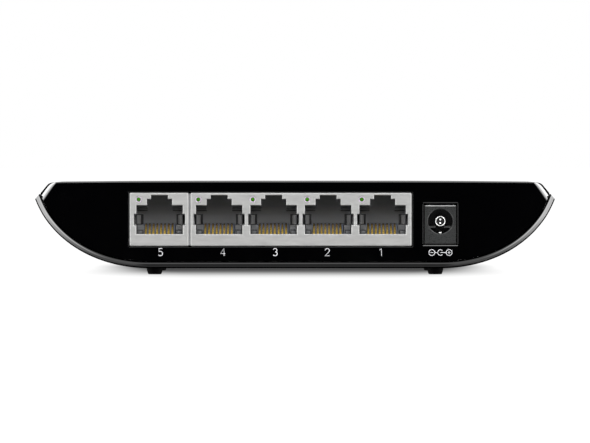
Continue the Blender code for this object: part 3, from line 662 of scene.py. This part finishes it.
def window_edge(z, flare):
    """A cutter that rounds the inlet window's edge at z. A negative flare widens it downwards."""
    size = abs(flare)
    side = 1 if flare > 0 else -1
    angles = np.radians(range(0, 91, 15))
    slope = [(FACE + size * (1 - math.cos(a)), z + flare * (1 - math.sin(a))) for a in angles]
    end = FACE + size + 0.1
    slope = [(FACE - 1, z + flare)] + slope + [(end, z), (end, z - side), (FACE - 1, z - side)]
    return side_prism(slope, INLET_X - WINDOW_HALF, INLET_X + WINDOW_HALF)


def vent(x, y):
    """A cutter for a slot through the floor of the shell, with round ends and a flared mouth."""
    half_wide, half_long, inner_z = 0.9, 7.0, 4.5
    straight = half_long - half_wide
    outline = arc((0, straight), half_wide, 0, 180, 12) + arc((0, -straight), half_wide, 180, 360, 12)
    flare = half_wide * 0.28
    rings = []
    for z, grow in ((0, flare), (KEEL_Z, flare), (KEEL_Z + flare, 0), (inner_z, 0)):
        grown = offset(outline, grow) if grow else outline
        rings.append([(x + across, y + along, z) for across, along in grown])
    return skin(rings)


def make_shell(mat):
    shell = mesh_object("shell", loft(shell_sections()))
    bosses = [cylinder(SHELL_POST_R, (x, y, 0), (x, y, SHELL_POST_Z)) for x, y in SCREW_PLACES]
    for side in (-1, 1):
        for x, y, radius in BOARD_POSTS:
            bosses.append(cylinder(radius, (side * x, y, 0), (side * x, y, BOARD_POST_Z)))
    bosses = mesh_object("bosses", merge(*bosses))
    inner = both_sides([(0, KEEL_Z + SHELL / 2)] + hull_side(SHELL / 2) + [(0, TIP_Z)])
    combine(bosses, "INTERSECT", prism(inner, REAR + 1, -REAR - 1))
    joined = bmesh.new()
    joined.from_mesh(bosses.data)
    bmesh.ops.scale(joined, vec=(1 / MM,) * 3, verts=joined.verts)
    bpy.data.objects.remove(bosses)
    combine(shell, "UNION", joined)
    vent_x = [(k - (VENT_COUNT - 1) / 2) * VENT_PITCH for k in range(VENT_COUNT)]
    cuts = [vent(x, y) for y in (-VENT_Y, VENT_Y) for x in vent_x]
    pocket = [(0, 0), (3.75, 0), (3.75, 1.6), (3.2, 2.6), (3.2, 7.2), (1.55, 7.2), (1.55, 11), (0, 11)]
    cuts += [turned(pocket, (x, y, 0)) for x, y in SCREW_PLACES]
    gap = 0.3
    low, high = span("rating_label")
    recess = rounded_rectangle((low.x - gap, low.y - gap), (high.x + gap, high.y + gap), 1.6, 8)
    cuts.append(plate(recess, 0, high.z + gap))
    combine(shell, "DIFFERENCE", merge(*cuts))
    show(shell, mat, "case_plastic", stands_for="bottom_shell")


def make_label(mat):
    low, high = span("rating_label")
    shape = plate(rounded_rectangle(low.xy, high.xy, 1.4, 8), low.z, high.z)
    add_piece("label", shape, mat, "label_film", 0.05, stands_for="rating_label")


def make_feet(mat):
    for corner in CORNERS:
        node = f"foot_{corner}"
        low, high = span(node)
        x, y, _ = (low + high) / 2
        top = KEEL_Z + 0.02
        profile = [(0, 0.08), (0.9, 0.08), (1.0, 0.0)] + arc((1.45, 0.35), 0.35, -90, -15, 6)
        profile += [(2.0, 0.95), (2.1, top - 0.25), (2.1, top), (1.2, top), (1.2, high.z), (0, high.z)]
        shape = turned(profile, (x, y, 0))
        add_piece(node + "_pad", shape, mat, "foot_rubber", stands_for=node, smooth=45)


def make_screws(mat):
    for node in SCREWS:
        low, high = span(node)
        x, y, _ = (low + high) / 2
        head = low.z
        seat = head + 1.9
        profile = [(0, head)] + arc((1.6, head + 1.1), 1.1, -90, 0, 8) + [(2.7, seat), (1.2, seat)]
        profile += [(1.2, high.z - 1.2), (0.4, high.z), (0, high.z)]
        screw = mesh_object(node + "_turned", turned(profile, (x, y, 0)))
        for wide, long in ((1.5, 0.28), (0.28, 1.5)):  # half sizes of the cross's two slots
            slot = box((x - wide, y - long, head - 1), (x + wide, y + long, head + 1.1))
            combine(screw, "DIFFERENCE", slot)
        show(screw, mat, "screw_steel", stands_for=node)


# --- Raised marks ---
NUMBER_SHIFT = {5: 0.25, 4: 0.95, 3: 0.4, 2: -0.2, 1: -0.5}  # along x, from each port's centre
NUMBER_Z, NUMBER_HEIGHT, NUMBER_STROKE = 5.8, 1.87, 0.125
POLARITY_Z, POLARITY_HEIGHT, POLARITY_STROKE = 5.7, 2.1, 0.11
# Each digit's strokes, in a box 0.62 wide and 1 high
DIGITS = {
    1: [[(0.12, 0.78), (0.36, 1.0), (0.36, 0.0)]],
    2: [arc((0.31, 0.71), 0.29, 170, -35, 12) + [(0.02, 0.0), (0.62, 0.0)]],
    3: [arc((0.3, 0.75), (0.26, 0.25), 155, -80, 10) + arc((0.3, 0.27), (0.3, 0.27), 80, -155, 12)],
    4: [[(0.48, 0.0), (0.48, 1.0), (0.0, 0.3), (0.64, 0.3)]],
    5: [[(0.56, 1.0), (0.12, 1.0)] + arc((0.29, 0.31), 0.31, 128, -150, 14)],
}


def raise_strokes(name, strokes, centre, height, radius, mat):
    """Round-backed raised strokes on the port face, drawn in units of height about centre."""
    curve = bpy.data.curves.new(name, "CURVE")
    curve.dimensions = "3D"
    curve.bevel_depth = radius * MM
    curve.bevel_resolution = 3
    curve.use_fill_caps = True
    xs = [x for stroke in strokes for x, _ in stroke]
    mid = (min(xs) + max(xs)) / 2
    for stroke in strokes:
        spline = curve.splines.new("POLY")
        closed = stroke[0] == stroke[-1]
        points = stroke[:-1] if closed else stroke
        spline.points.add(len(points) - 1)
        spline.use_cyclic_u = closed
        for point, (x, z) in zip(spline.points, points):
            place = (centre[0] + (x - mid) * height, REAR + radius, centre[1] + (z - 0.5) * height)
            point.co = (*(c * MM for c in place), 1)
    obj = add_object(name, curve)
    mesh = bpy.data.meshes.new_from_object(obj.evaluated_get(bpy.context.evaluated_depsgraph_get()))
    bpy.data.objects.remove(obj)
    show(add_object(name, mesh), mat, "case_plastic", smooth=60, weighted=False)


def make_marks(mat):
    """Port numbers and the inlet's polarity mark: minus on the sleeve, plus on the pin."""
    for port, shift in NUMBER_SHIFT.items():
        centre = (PORT_X[port] + shift, NUMBER_Z)
        raise_strokes(f"port_number_{port}", DIGITS[port], centre, NUMBER_HEIGHT, NUMBER_STROKE, mat)
    ring = arc((0, 0.5), 0.36, 0, 360, 24)[:-1]
    ring.append(ring[0])
    strokes = [[(x - 1.05, z) for x, z in ring], [(x + 1.05, z) for x, z in ring]]
    strokes += [[(-1.23, 0.5), (-0.87, 0.5)], [(0.87, 0.5), (1.23, 0.5)], [(1.05, 0.32), (1.05, 0.68)]]
    strokes += [arc((0, 0.5), 0.34, 45, 315, 16), [(-0.69, 0.5), (-0.34, 0.5)], [(0.03, 0.5), (0.69, 0.5)]]
    strokes.append([(-0.04, 0.5), (0.06, 0.5)])
    centre = (INLET_X, POLARITY_Z)
    raise_strokes("polarity_mark", strokes, centre, POLARITY_HEIGHT, POLARITY_STROKE, mat)


# --- Modular jacks ---
# A grounding finger's path to its free end: across from the port's centre, and back from the jack's face
FINGER_PATH = ((6.25, 8.2), (6.2, 6.0), (5.7, 4.4), (5.0, 3.1), (4.88, 2.6), (5.0, 2.2), (5.75, 1.35))
FINGER_THICK, FINGER_Z = 0.16, (12.95, 15.35)
COMB_HALF, TOOTH_HALF, TOOTH_TOP_Z = 4.05, 0.17, 12.95
LENS_R, LENS_RISE = 0.53, 0.3  # a port lamp's lens and how far its dome rises
LENS_HOLE_R = 0.85


def mouth(x, latch_top, notch):
    half = [(MOUTH_HALF, FLOOR_Z)]
    if notch:
        low, high = NOTCH_Z
        half += [(MOUTH_HALF, low), (NOTCH_HALF, low), (NOTCH_HALF, high), (MOUTH_HALF, high)]
    half += [(MOUTH_HALF, SHOULDER_Z), (LATCH_STEP_HALF, SHOULDER_Z), (LATCH_STEP_HALF, LATCH_STEP_Z)]
    half += [(LATCH_HALF, LATCH_STEP_Z), (LATCH_HALF, latch_top)]
    return [(x + px, pz) for px, pz in half + [(-px, pz) for px, pz in reversed(half)]]


def make_shield(name, low, high, ports, mat):
    outline = rounded_rectangle((low.x, low.z), (high.x, high.z), 0.45, 4)
    shield = mesh_object(name + "_sheet", loft(quarter_round(outline, low.y, high.y, 0.42, False)))
    inside = box((low.x + SHEET, low.y + SHEET, low.z - 1), (high.x - SHEET, high.y - SHEET, high.z - SHEET))
    combine(shield, "DIFFERENCE", inside)
    back = low.y + SHEET + 0.2
    for port in ports:
        combine(shield, "DIFFERENCE", hole(mouth(PORT_X[port], LATCH_TOP_Z, True), low.y, back, 0.3))
        led = middle(f"port_{port}_led")
        ring = arc((led.x, led.z), LENS_HOLE_R, 0, 360, 32)[:-1]
        combine(shield, "DIFFERENCE", hole(ring, low.y, back, 0.1))
    show(shield, mat, "shield_metal", stands_for=name)


def make_joint(mat):
    """The strip that fills the gap between the two jacks."""
    low = (SINGLE_HIGH.x + 0.02, JACK_FACE + 0.2, JACK_Z[0] + 0.3)
    high = (QUAD_LOW.x - 0.02, JACK_FACE + 0.6, JACK_Z[1] - 0.3)
    add_piece("jack_joint", box(low, high), mat, "shield_metal", 0.03)


def make_housing(name, low, high, ports, mat):
    """The jack's plastic body: a cavity, contact trench, side notches and lamp pocket for each port."""
    face = low.y + SHEET + 0.3
    back = high.y - SHEET - 0.3
    top = high.z - SHEET - 0.3
    housing = mesh_object(name + "_block", box((low.x + 0.7, face, low.z), (high.x - 0.7, back, top)))
    trench = CONTACT_PITCH * CONTACT_COUNT / 2 + 0.05
    for port in ports:
        x = PORT_X[port]
        combine(housing, "DIFFERENCE", hole(mouth(x, high.z, False), face, CAVITY_BACK, 0.15, 3))
        cuts = [box((x - trench, PIVOT_Y - 0.9, 9.0), (x + trench, CAVITY_BACK - 0.2, FLOOR_Z + 0.2))]
        for side in (-1, 1):
            inner, outer = sorted((x + side * (MOUTH_HALF - 0.2), x + side * NOTCH_HALF))
            cuts.append(box((inner, face - 1, NOTCH_Z[0]), (outer, face + 8.0, NOTCH_Z[1])))
        led = middle(f"port_{port}_led")
        pocket = (led.x, face - 1, led.z), (led.x, JACK_FACE + 8.3, led.z)
        cuts.append(cylinder(LENS_HOLE_R, *pocket, 24))
        combine(housing, "DIFFERENCE", merge(*cuts))
    soften(housing, 0.08, 50)
    show(housing, mat, "jack_plastic", stands_for=name)


def make_port_details(port, plastic, pale, dark, metal_sheet, insert):
    """Small fixed pieces inside one port: guides, sills, grounding fingers, painted shadow gaps and frame,
    contact comb.
    """
    x = PORT_X[port]
    wall, floor, back = MOUTH_HALF + 0.1, FLOOR_Z - 0.1, CAVITY_BACK + 0.1
    guides, sills, fingers, gaps = [], [], [], []
    for side in (-1, 1):
        def block(outer, inner, front, rear, low_z, high_z):
            low, high = sorted((x + side * outer, x + side * inner))
            return box((low, front, low_z), (high, rear, high_z))
        guides.append(block(wall, 3.25, CAVITY_BACK - 3.2, back, 16.6, 17.15))
        guides.append(block(5.75, 4.55, JACK_FACE + 1.6, JACK_FACE + 5.0, floor, FLOOR_Z + 0.85))
        sills.append(block(wall, 4.12, JACK_FACE + 5.6, JACK_FACE + 8.1, floor, 12.72))
        # Dark blocks that are painted shadow: under the upper guides, in the floor's corners and behind the
        # fingers.
        gaps.append(block(wall, 3.25, CAVITY_BACK - 3.0, back, 16.25, 16.55))
        gaps.append(block(wall, 4.3, JACK_FACE + 2.2, JACK_FACE + 5.4, floor, FLOOR_Z + 1.12))
        gaps.append(block(wall, 4.25, JACK_FACE + 8.3, JACK_FACE + 8.9, 12.8, 15.5))
        path = [(x + side * across, JACK_FACE + along) for across, along in FINGER_PATH]
        fingers.append(plate(thickened(path, FINGER_THICK), *FINGER_Z))
    add_piece(f"port_{port}_guides", merge(*guides), plastic, "jack_plastic", 0.1)
    add_piece(f"port_{port}_sills", merge(*sills), pale, "jack_plastic", 0.12)
    # A dark frame just inside the mouth, round its top and sides but not at the floor: painted shadow under
    # the shield's edges.
    opening = mouth(x, LATCH_TOP_Z, False)
    edge = mesh_object(f"port_{port}_shadow_frame", prism(opening, JACK_FACE + 0.75, JACK_FACE + 1.1))
    inner = [(px, pz if pz > FLOOR_Z + 1 else FLOOR_Z - 1) for px, pz in offset(opening, -0.26)]
    combine(edge, "DIFFERENCE", prism(inner, JACK_FACE, JACK_FACE + 2))
    show(edge, dark, "jack_plastic")
    add_piece(f"port_{port}_shadow_gaps", merge(*gaps), dark, "jack_plastic", 0.05)
    # The fingers get a darker sheet than the shield's: painted shade.
    add_piece(f"port_{port}_fingers", merge(*fingers), metal_sheet, "shield_metal", 0.05)
    front = JACK_FACE + 8.2
    bar = [(PIVOT_Y + 0.75, 9.02), (back, 9.02), (back, 10.5), (front - 2.2, 10.3)]
    comb = [side_prism(bar, x - COMB_HALF, x + COMB_HALF)]
    tooth = [(front - 2.4, 10.0), (back, 10.0), (back, TOOTH_TOP_Z), (front + 0.4, TOOTH_TOP_Z)]
    tooth.append((front - 1.8, 11.0))
    for k in range(CONTACT_COUNT + 1):
        centre = x + CONTACT_SHIFT + (k - CONTACT_COUNT / 2) * CONTACT_PITCH
        comb.append(side_prism(tooth, centre - TOOTH_HALF, centre + TOOTH_HALF))
    add_piece(f"port_{port}_comb", merge(*comb), insert, "jack_plastic", 0.05)


def wire_outline():
    """One contact wire from the side, measured from the line that it flexes about."""
    path = [(-0.35, -0.25), (0.0, 0.0)]
    path += [(s * 8.4, s * 3.3 + 0.12 * math.sin(math.pi * s)) for s in np.linspace(0.1, 0.94, 10)]
    path += arc((8.55, 2.55), (0.55, 0.72), 110, 40, 5)
    return [(PIVOT_Y + y, PIVOT_Z + z) for y, z in thickened(path, CONTACT_THICK)]


def make_contacts(port, mat):
    x, node = PORT_X[port], f"port_{port}_contacts"
    outline = wire_outline()
    wires = []
    for k in range(CONTACT_COUNT):
        centre = x + CONTACT_SHIFT + (k - (CONTACT_COUNT - 1) / 2) * CONTACT_PITCH
        wires.append(side_prism(outline, centre - CONTACT_WIDE / 2, centre + CONTACT_WIDE / 2))
    half = CONTACT_PITCH * (CONTACT_COUNT - 1) / 2 + CONTACT_WIDE / 2
    wires.append(cylinder(0.4, (x - half, PIVOT_Y, PIVOT_Z), (x + half, PIVOT_Y, PIVOT_Z), 24))
    body = f"port_{port}_contact_row"
    add_piece(node + "_wires", merge(*wires), mat, "contact_gold", 0.07, body=body, stands_for=node)


def make_port_led(port, lens, rim):
    node = f"port_{port}_led"
    low, high = span(node)
    x, _, z = (low + high) / 2
    angles, deep = np.radians(range(12, 91, 13)), high.y - low.y
    dome = [(0, 0)] + [(LENS_R * math.sin(a), LENS_RISE * (1 - math.cos(a))) for a in angles]
    dome += [(LENS_R, deep), (0, deep)]
    shape = turned(dome, (x, low.y, z), "y", 40)
    add_piece(node + "_lens", shape, lens, "port_lens", stands_for=node)
    ring = [(0, 0.6), (0.56, 0.6), (0.56, 0.16), (0.6, 0.07), (0.68, 0.03), (0.76, 0.07), (0.8, 0.16)]
    ring += [(0.8, 1.4), (0, 1.4)]
    add_piece(node + "_collar", turned(ring, (x, low.y, z), "y", 40), rim, "port_lens")


# --- Power inlet ---
def make_inlet(plastic, pale, dark, nickel, tin):
    """The inlet's body with its bore and ledge, a pale strip along its top edge that is a painted highlight,
    and its pin: a tube with a core and two prongs.
    """
    low, high = INLET_LOW, INLET_HIGH
    outline = rounded_rectangle((low.x, 7.9), (high.x, high.z), 0.2, 3)
    body = mesh_object("inlet_block", loft(quarter_round(outline, low.y, high.y, 0.16, False, 4)))
    lug = box((low.x + 0.4, low.y + 3, low.z), (high.x - 0.4, high.y - 0.4, 8.4))
    combine(body, "UNION", lug)
    circle = arc((INLET_X, INLET_Z), BORE_R, 0, 360, 72)[:-1]
    bore = hole(circle, low.y, low.y + BORE_DEPTH, 0.14)
    slot = box((INLET_X - 0.95, low.y + 0.8, 8.75), (INLET_X + 0.95, REAR + 13.35, 11.33))
    combine(body, "DIFFERENCE", bore, slot)
    shelf = []
    for side in (-1, 1):
        near, far = (INLET_X + side * across for across in (1.05, 3.15))
        shelf.append(box((near, low.y + 6.6, 12.0), (far, low.y + BORE_DEPTH, 12.45)))
    ledge = mesh_object("inlet_ledge", merge(*shelf))
    combine(ledge, "INTERSECT", prism(offset(circle, 0.05), low.y, high.y))
    soften(ledge, 0.1)
    show(body, plastic, "inlet_plastic", stands_for="power_inlet_body")
    # A pale strip along the body's top edge: a painted highlight.
    highlight_strip = box((low.x + 0.15, low.y - 0.04, high.z - 0.34), (high.x - 0.15, low.y + 0.3, high.z - 0.1))
    add_piece("inlet_top_highlight", highlight_strip, pale, "inlet_plastic", 0.08)
    show(ledge, pale, "inlet_plastic")

    pin_low, pin_high = span("power_inlet_pin")
    long = pin_high.y - pin_low.y
    tube = [(0, 5.0), (1.06, 5.0), (1.06, 0.12)] + arc((1.18, 0.12), 0.12, 180, 360, 8)[1:-1]
    tube += [(1.3, 0.12), (1.3, long), (0, long)]
    place = (INLET_X, pin_low.y, INLET_Z)
    tube = turned(tube, place, "y", 56)
    add_piece("inlet_pin", tube, nickel, "inlet_nickel", stands_for="power_inlet_pin")
    # The core is near-black plastic inside the tube: painted shade.
    core = turned([(0, 1.4), (1.03, 1.4), (1.03, 4.9), (0, 4.9)], place, "y", 40)
    add_piece("inlet_core", core, dark, "inlet_plastic")
    prongs = []
    for side in (-1, 1):
        profile = [(0, 0), (0.1, 0.02), (0.2, 0.1), (0.25, 0.3), (0.25, 4.5), (0, 4.5)]
        place = (INLET_X, pin_low.y + 0.4, INLET_Z + side * 0.46)
        prongs.append(turned(profile, place, "y", 24))
    add_piece("inlet_prongs", merge(*prongs), tin, "inlet_nickel")


def make_spring(mat):
    """The inlet's sleeve contact, a leaf that flexes about its root."""
    y, z = REAR + 12.6, 9.5  # the root
    path = [(0.1, 0.0)] + [(-8.3 * s, 1.75 * s**1.1) for s in np.linspace(0.1, 0.95, 9)]
    path += arc((-8.9, 1.05), (0.75, 0.62), 70, 175, 8)
    outline = [(y + along, z + up) for along, up in thickened(path, 0.28)]
    leaf = mesh_object("inlet_leaf", side_prism(outline, INLET_X - 0.62, INLET_X + 0.62))
    for side in (-1, 1):
        low, high = sorted((INLET_X + side * 0.28, INLET_X + side * 2))
        combine(leaf, "DIFFERENCE", box((low, y - 12, 5), (high, y - 2.0, 15)))
    soften(leaf, 0.06)
    show(leaf, mat, "inlet_nickel", body="power_contact_leaf", stands_for="power_inlet_spring")


# --- Indicators ---
def make_light_guide(mat):
    low, high = span("front_light_guide")
    bar_y = -REAR - END_WALL - 3.3
    foot = low.z
    parts = []
    for lamp in LAMPS:
        x = middle(lamp).x
        outline = rounded_rectangle((x - 1.1, LAMP_Z - 0.7), (x + 1.1, LAMP_Z + 0.7), 0.3, 4)
        tip = quarter_round(outline, 0, 6, 0.25, False, 4)
        parts.append(loft([(high.y - distance, shape) for distance, shape in tip]))
        rear = middle(lamp).y - 0.8
        elbow = [(bar_y + 1.2, 11.0), (bar_y + 1.2, 13.0), (rear + 1.5, 13.0), (rear, 11.5)]
        elbow += [(rear, foot), (rear + 2.0, foot), (rear + 2.6, 11.0)]
        parts.append(side_prism(elbow, x - 0.9, x + 0.9))
    half = middle(LAMPS[-1]).x + 2.5
    guide = mesh_object("light_guide", box((-half, bar_y, 10.7), (half, bar_y + 2.4, 13.3)))
    combine(guide, "UNION", *parts)
    soften(guide, 0.12)
    show(guide, mat, "guide_acrylic", stands_for="front_light_guide")


# --- Stage ---
def math_node(owner, operation, a, b=0.5):
    node = add_node(owner, "ShaderNodeMath")
    node.operation = operation
    for socket, value in zip(node.inputs, (a, b)):
        if isinstance(value, (int, float)):
            socket.default_value = value
        else:
            link(owner, value, socket)
    return node.outputs[0]


def step(owner, value, start, end):
    """0 before start and 1 after end, turning smoothly between them. start may be the larger."""
    low, high = min(start, end), max(start, end)
    first, last = (0, 1) if start < end else (1, 0)
    node = add_node(owner, "ShaderNodeMapRange", From_Min=low, From_Max=high, To_Min=first, To_Max=last)
    node.interpolation_type = "SMOOTHSTEP"
    link(owner, value, node.inputs["Value"])
    return node.outputs["Result"]


# Painted shadow: how bright the paper is at distances along y, from the dark painted under the case to the
# open floor on each side
SHADE = (
    (-170, 1.0), (-137, 0.975), (-121, 0.955), (-105, 0.93), (-89, 0.885), (-73, 0.815), (-56, 0.72),
    (-39, 0.59), (-21, 0.46), (-4, 0.3), (14, 0.172), (32, 0.104), (51, 0.05), (70, 0.022), (85, 0.03),
    (105, 0.1), (135, 0.45), (170, 0.88), (200, 1.0),
)
# The painted shadow fades sideways, from a line that leans outwards with y (start + lean * y) to an end
SHADE_START, SHADE_LEAN, SHADE_END = 29.4, 0.108, 58.0


def make_floor():
    """Pale paper, lit from within, with a soft shadow under the case painted into its glow."""
    bm = bmesh.new()
    bmesh.ops.create_grid(bm, x_segments=1, y_segments=1, size=20000)
    floor = mesh_object("floor", bm)
    glow = {"Specular IOR Level": 0.0, "Emission Color": (1, 1, 1, 1)}
    mat = material("floor_paper", (0.014, 0.014, 0.014), 0.9, **glow)
    x, y, _ = place_of(mat, "Object")
    along = colour_ramp(mat, y, [(place, (level,) * 3) for place, level in SHADE])
    near = math_node(mat, "MULTIPLY", math_node(mat, "MINIMUM", y, SHADE[-1][0] * MM), SHADE_LEAN)
    near = math_node(mat, "ADD", near, SHADE_START * MM)
    run = math_node(mat, "SUBTRACT", math_node(mat, "ABSOLUTE", x), near)
    fade = math_node(mat, "DIVIDE", run, math_node(mat, "SUBTRACT", SHADE_END * MM, near))
    beside = step(mat, fade, 0, 1)
    lift = math_node(mat, "MULTIPLY", math_node(mat, "SUBTRACT", SHADE[0][1], along), beside)
    feed(mat, math_node(mat, "ADD", along, lift), "Emission Strength")
    floor.data.materials.append(mat)
    floor.visible_glossy = False


def make_camera():
    """Level with the port face and a little above it, centred on the case."""
    distance, lift, aim_z, field = 2000.0, 16.3, 13.67, 151.28
    data = bpy.data.cameras.new("camera")
    data.sensor_width = 36.0
    data.lens = data.sensor_width * distance / field
    data.clip_start, data.clip_end = 0.01, 100
    camera = add_object("camera", data)
    camera.location = Vector((0, REAR - distance, aim_z + lift)) * MM
    look = Vector((0, REAR, aim_z)) * MM - camera.location
    camera.rotation_mode = "QUATERNION"
    camera.rotation_quaternion = look.to_track_quat("-Z", "Y")
    bpy.context.scene.camera = camera


def make_studio():
    """A studio of soft panels at the sides and overhead, dark towards the camera and plain white behind."""
    world = bpy.data.worlds.new("studio")
    bpy.context.scene.world = world
    world.use_nodes = True
    world.node_tree.nodes.clear()
    x, y, z = place_of(world, "Generated")
    side = math_node(world, "ABSOLUTE", x)
    # A panel is its strength and the steps that bound it: a direction, where it is dark, where it is lit
    panels = [
        (1.15, (z, -0.85, -0.8), (z, -0.05, -0.2), (y, 0.5, 0.3)),
        (0.4, (z, -0.985, -0.96), (z, -0.885, -0.93), (y, 0.5, 0.3)),
        (0.9, (z, -0.94, -0.9), (z, -0.78, -0.83), (y, 0.5, 0.3), (side, 0.03, 0.12)),
        (1.6, (y, -0.45, -0.6), (z, -0.05, -0.2), (side, 0.24, 0.36)),
        (0.9, (z, -0.86, -0.74), (y, 0.6, 0.45), (side, 0.12, 0.4)),
        (2.4, (z, -0.78, -0.64), (z, 0.16, 0.04), (y, 0.6, 0.45), (side, 0.2, 0.42)),
        (2.8, (z, -0.64, -0.48), (z, 0.16, 0.04), (y, 0.6, 0.45), (side, 0.3, 0.5)),
        (6.5, (y, -0.95, -0.85), (y, 0.42, 0.34), (z, 0.26, 0.36), (side, 0.28, 0.4)),
        (7.0, (y, -0.7, -0.3), (y, 0.42, 0.34), (z, 0.4, 0.5), (side, 0.4, 0.55)),
        (5.0, (z, 0.25, 0.4), (z, 0.85, 0.7), (y, -0.3, -0.5), (side, 0.5, 0.4)),
        (1.0, (z, 0.6, 0.9)),
        (0.28, (y, 0.9, 0.95), (z, -0.01, 0.0), (side, 0.3, 0.15)),
    ]
    total = 0.0
    for strength, *steps in panels:
        share = strength
        for value, start, end in steps:
            share = math_node(world, "MULTIPLY", step(world, value, start, end), share)
        total = math_node(world, "ADD", share, total)
    lights = add_node(world, "ShaderNodeBackground")
    white = add_node(world, "ShaderNodeBackground", Color=(1, 1, 1, 1))
    rays = add_node(world, "ShaderNodeLightPath")
    mix = add_node(world, "ShaderNodeMixShader")
    output = add_node(world, "ShaderNodeOutputWorld")
    for start, end in (
        (total, lights.inputs["Strength"]),
        (rays.outputs["Is Camera Ray"], mix.inputs["Fac"]),
        (lights.outputs["Background"], mix.inputs[1]),
        (white.outputs["Background"], mix.inputs[2]),
        (mix.outputs["Shader"], output.inputs["Surface"]),
    ):
        link(world, start, end)
    bpy.context.scene.view_settings.view_transform = "Standard"


def finish_inner_parts(steel):
    """Materials for the parts inside, whose shapes stay as they are."""
    chip = moulded("chip_epoxy", (0.018, 0.018, 0.019), 0.5, 0.7)
    transformers = [f"transformer_{port}" for port in PORTS]
    lamp = material("lamp_resin", (0.8, 0.82, 0.7), 0.25, **{"Transmission Weight": 0.3})
    vary_roughness(lamp, pattern(lamp, 3000), 0.2, 0.35)
    for mat, *nodes in (
        (board_laminate(), "circuit_board"),
        (metal("sink_aluminium", (0.75, 0.75, 0.77), 0.3, 0.5, (8, 0.5, 1)), "heat_sink"),
        (moulded("pad_silicone", (0.42, 0.48, 0.56), 0.7, 0.9), "thermal_pad"),
        (metal("can_metal", (0.72, 0.71, 0.68), 0.2, 0.35), "crystal"),
        (moulded("capacitor_sleeve", (0.02, 0.03, 0.1), 0.25, 0.4), "input_capacitor", "output_capacitor"),
        (steel, "board_screw_left", "board_screw_right"),
        (chip, "switch_chip", "voltage_regulator", "power_inductor", *transformers),
        (lamp, *LAMPS),
    ):
        for node in nodes:
            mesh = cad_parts[node].data
            mesh.materials.clear()
            mesh.materials.append(mat)


def main():
    make_camera()
    make_floor()
    make_studio()
    case = gloss_black()
    sheet = shield_metal()
    jack = jack_plastic()
    guide = moulded("guide_plastic", (0.04, 0.041, 0.042), specular=0.3)
    pale = moulded("sill_plastic", (0.11, 0.112, 0.115), specular=0.3)
    # Near-black plastic for painted shadow inside the ports and inside the inlet's pin.
    dark = moulded("painted_shadow_plastic", (0.012, 0.012, 0.013), specular=0.2)
    insert = moulded("insert_plastic", (0.13, 0.155, 0.21), 0.35, 0.5)
    gold = contact_gold()
    lens = moulded("port_lens", (0.016, 0.075, 0.001), 0.25, 0.35, 2000, 0.08)
    # The fingers' metal, made dark and not metallic: painted shade on the fingers inside the notches.
    shaded_nickel = moulded("finger_nickel_painted_shade", (0.045, 0.045, 0.045), 0.4, 0.55, 3000, 0.2)
    collar = moulded("lens_collar", (0.36, 0.31, 0.37), 0.4, 0.5, 2000, 0.2)
    nickel = metal("inlet_nickel", (0.5, 0.5, 0.49), 0.2, 0.32)
    steel = metal("screw_steel", (0.5, 0.5, 0.51), 0.25, 0.4)
    make_cover(case)
    make_shell(case)
    make_feet(rubber())
    make_screws(steel)
    make_label(moulded("label_film", (0.62, 0.62, 0.61), 0.35, 0.5))
    # The marks are the case's black plastic made grey: a painted highlight on their raised edges.
    make_marks(moulded("raised_marks_painted_highlight", (0.3, 0.3, 0.31), 0.2, 0.3))
    make_joint(pale)
    for gang, low, high, ports in (
        ("single", SINGLE_LOW, SINGLE_HIGH, (5,)),
        ("quad", QUAD_LOW, QUAD_HIGH, (4, 3, 2, 1)),
    ):
        make_shield(f"{gang}_jack_shield", low, high, ports, sheet)
        make_housing(f"{gang}_jack_housing", low, high, ports, jack)
    for port in PORTS:
        make_port_details(port, guide, pale, dark, shaded_nickel, insert)
        make_contacts(port, gold)
        make_port_led(port, lens, collar)
    inlet = moulded("inlet_plastic", (0.012, 0.0125, 0.0125), 0.25, 0.32, specular=0.35)
    prong = metal("prong_tin", (0.8, 0.8, 0.78), 0.4, 0.5)
    make_inlet(inlet, moulded("ledge_and_highlight_plastic", (0.3, 0.3, 0.3)), dark, nickel, prong)
    make_spring(nickel)
    make_light_guide(material("guide_acrylic", (0.85, 0.88, 0.86), 0.1, **{"Transmission Weight": 0.7}))
    finish_inner_parts(steel)


main()
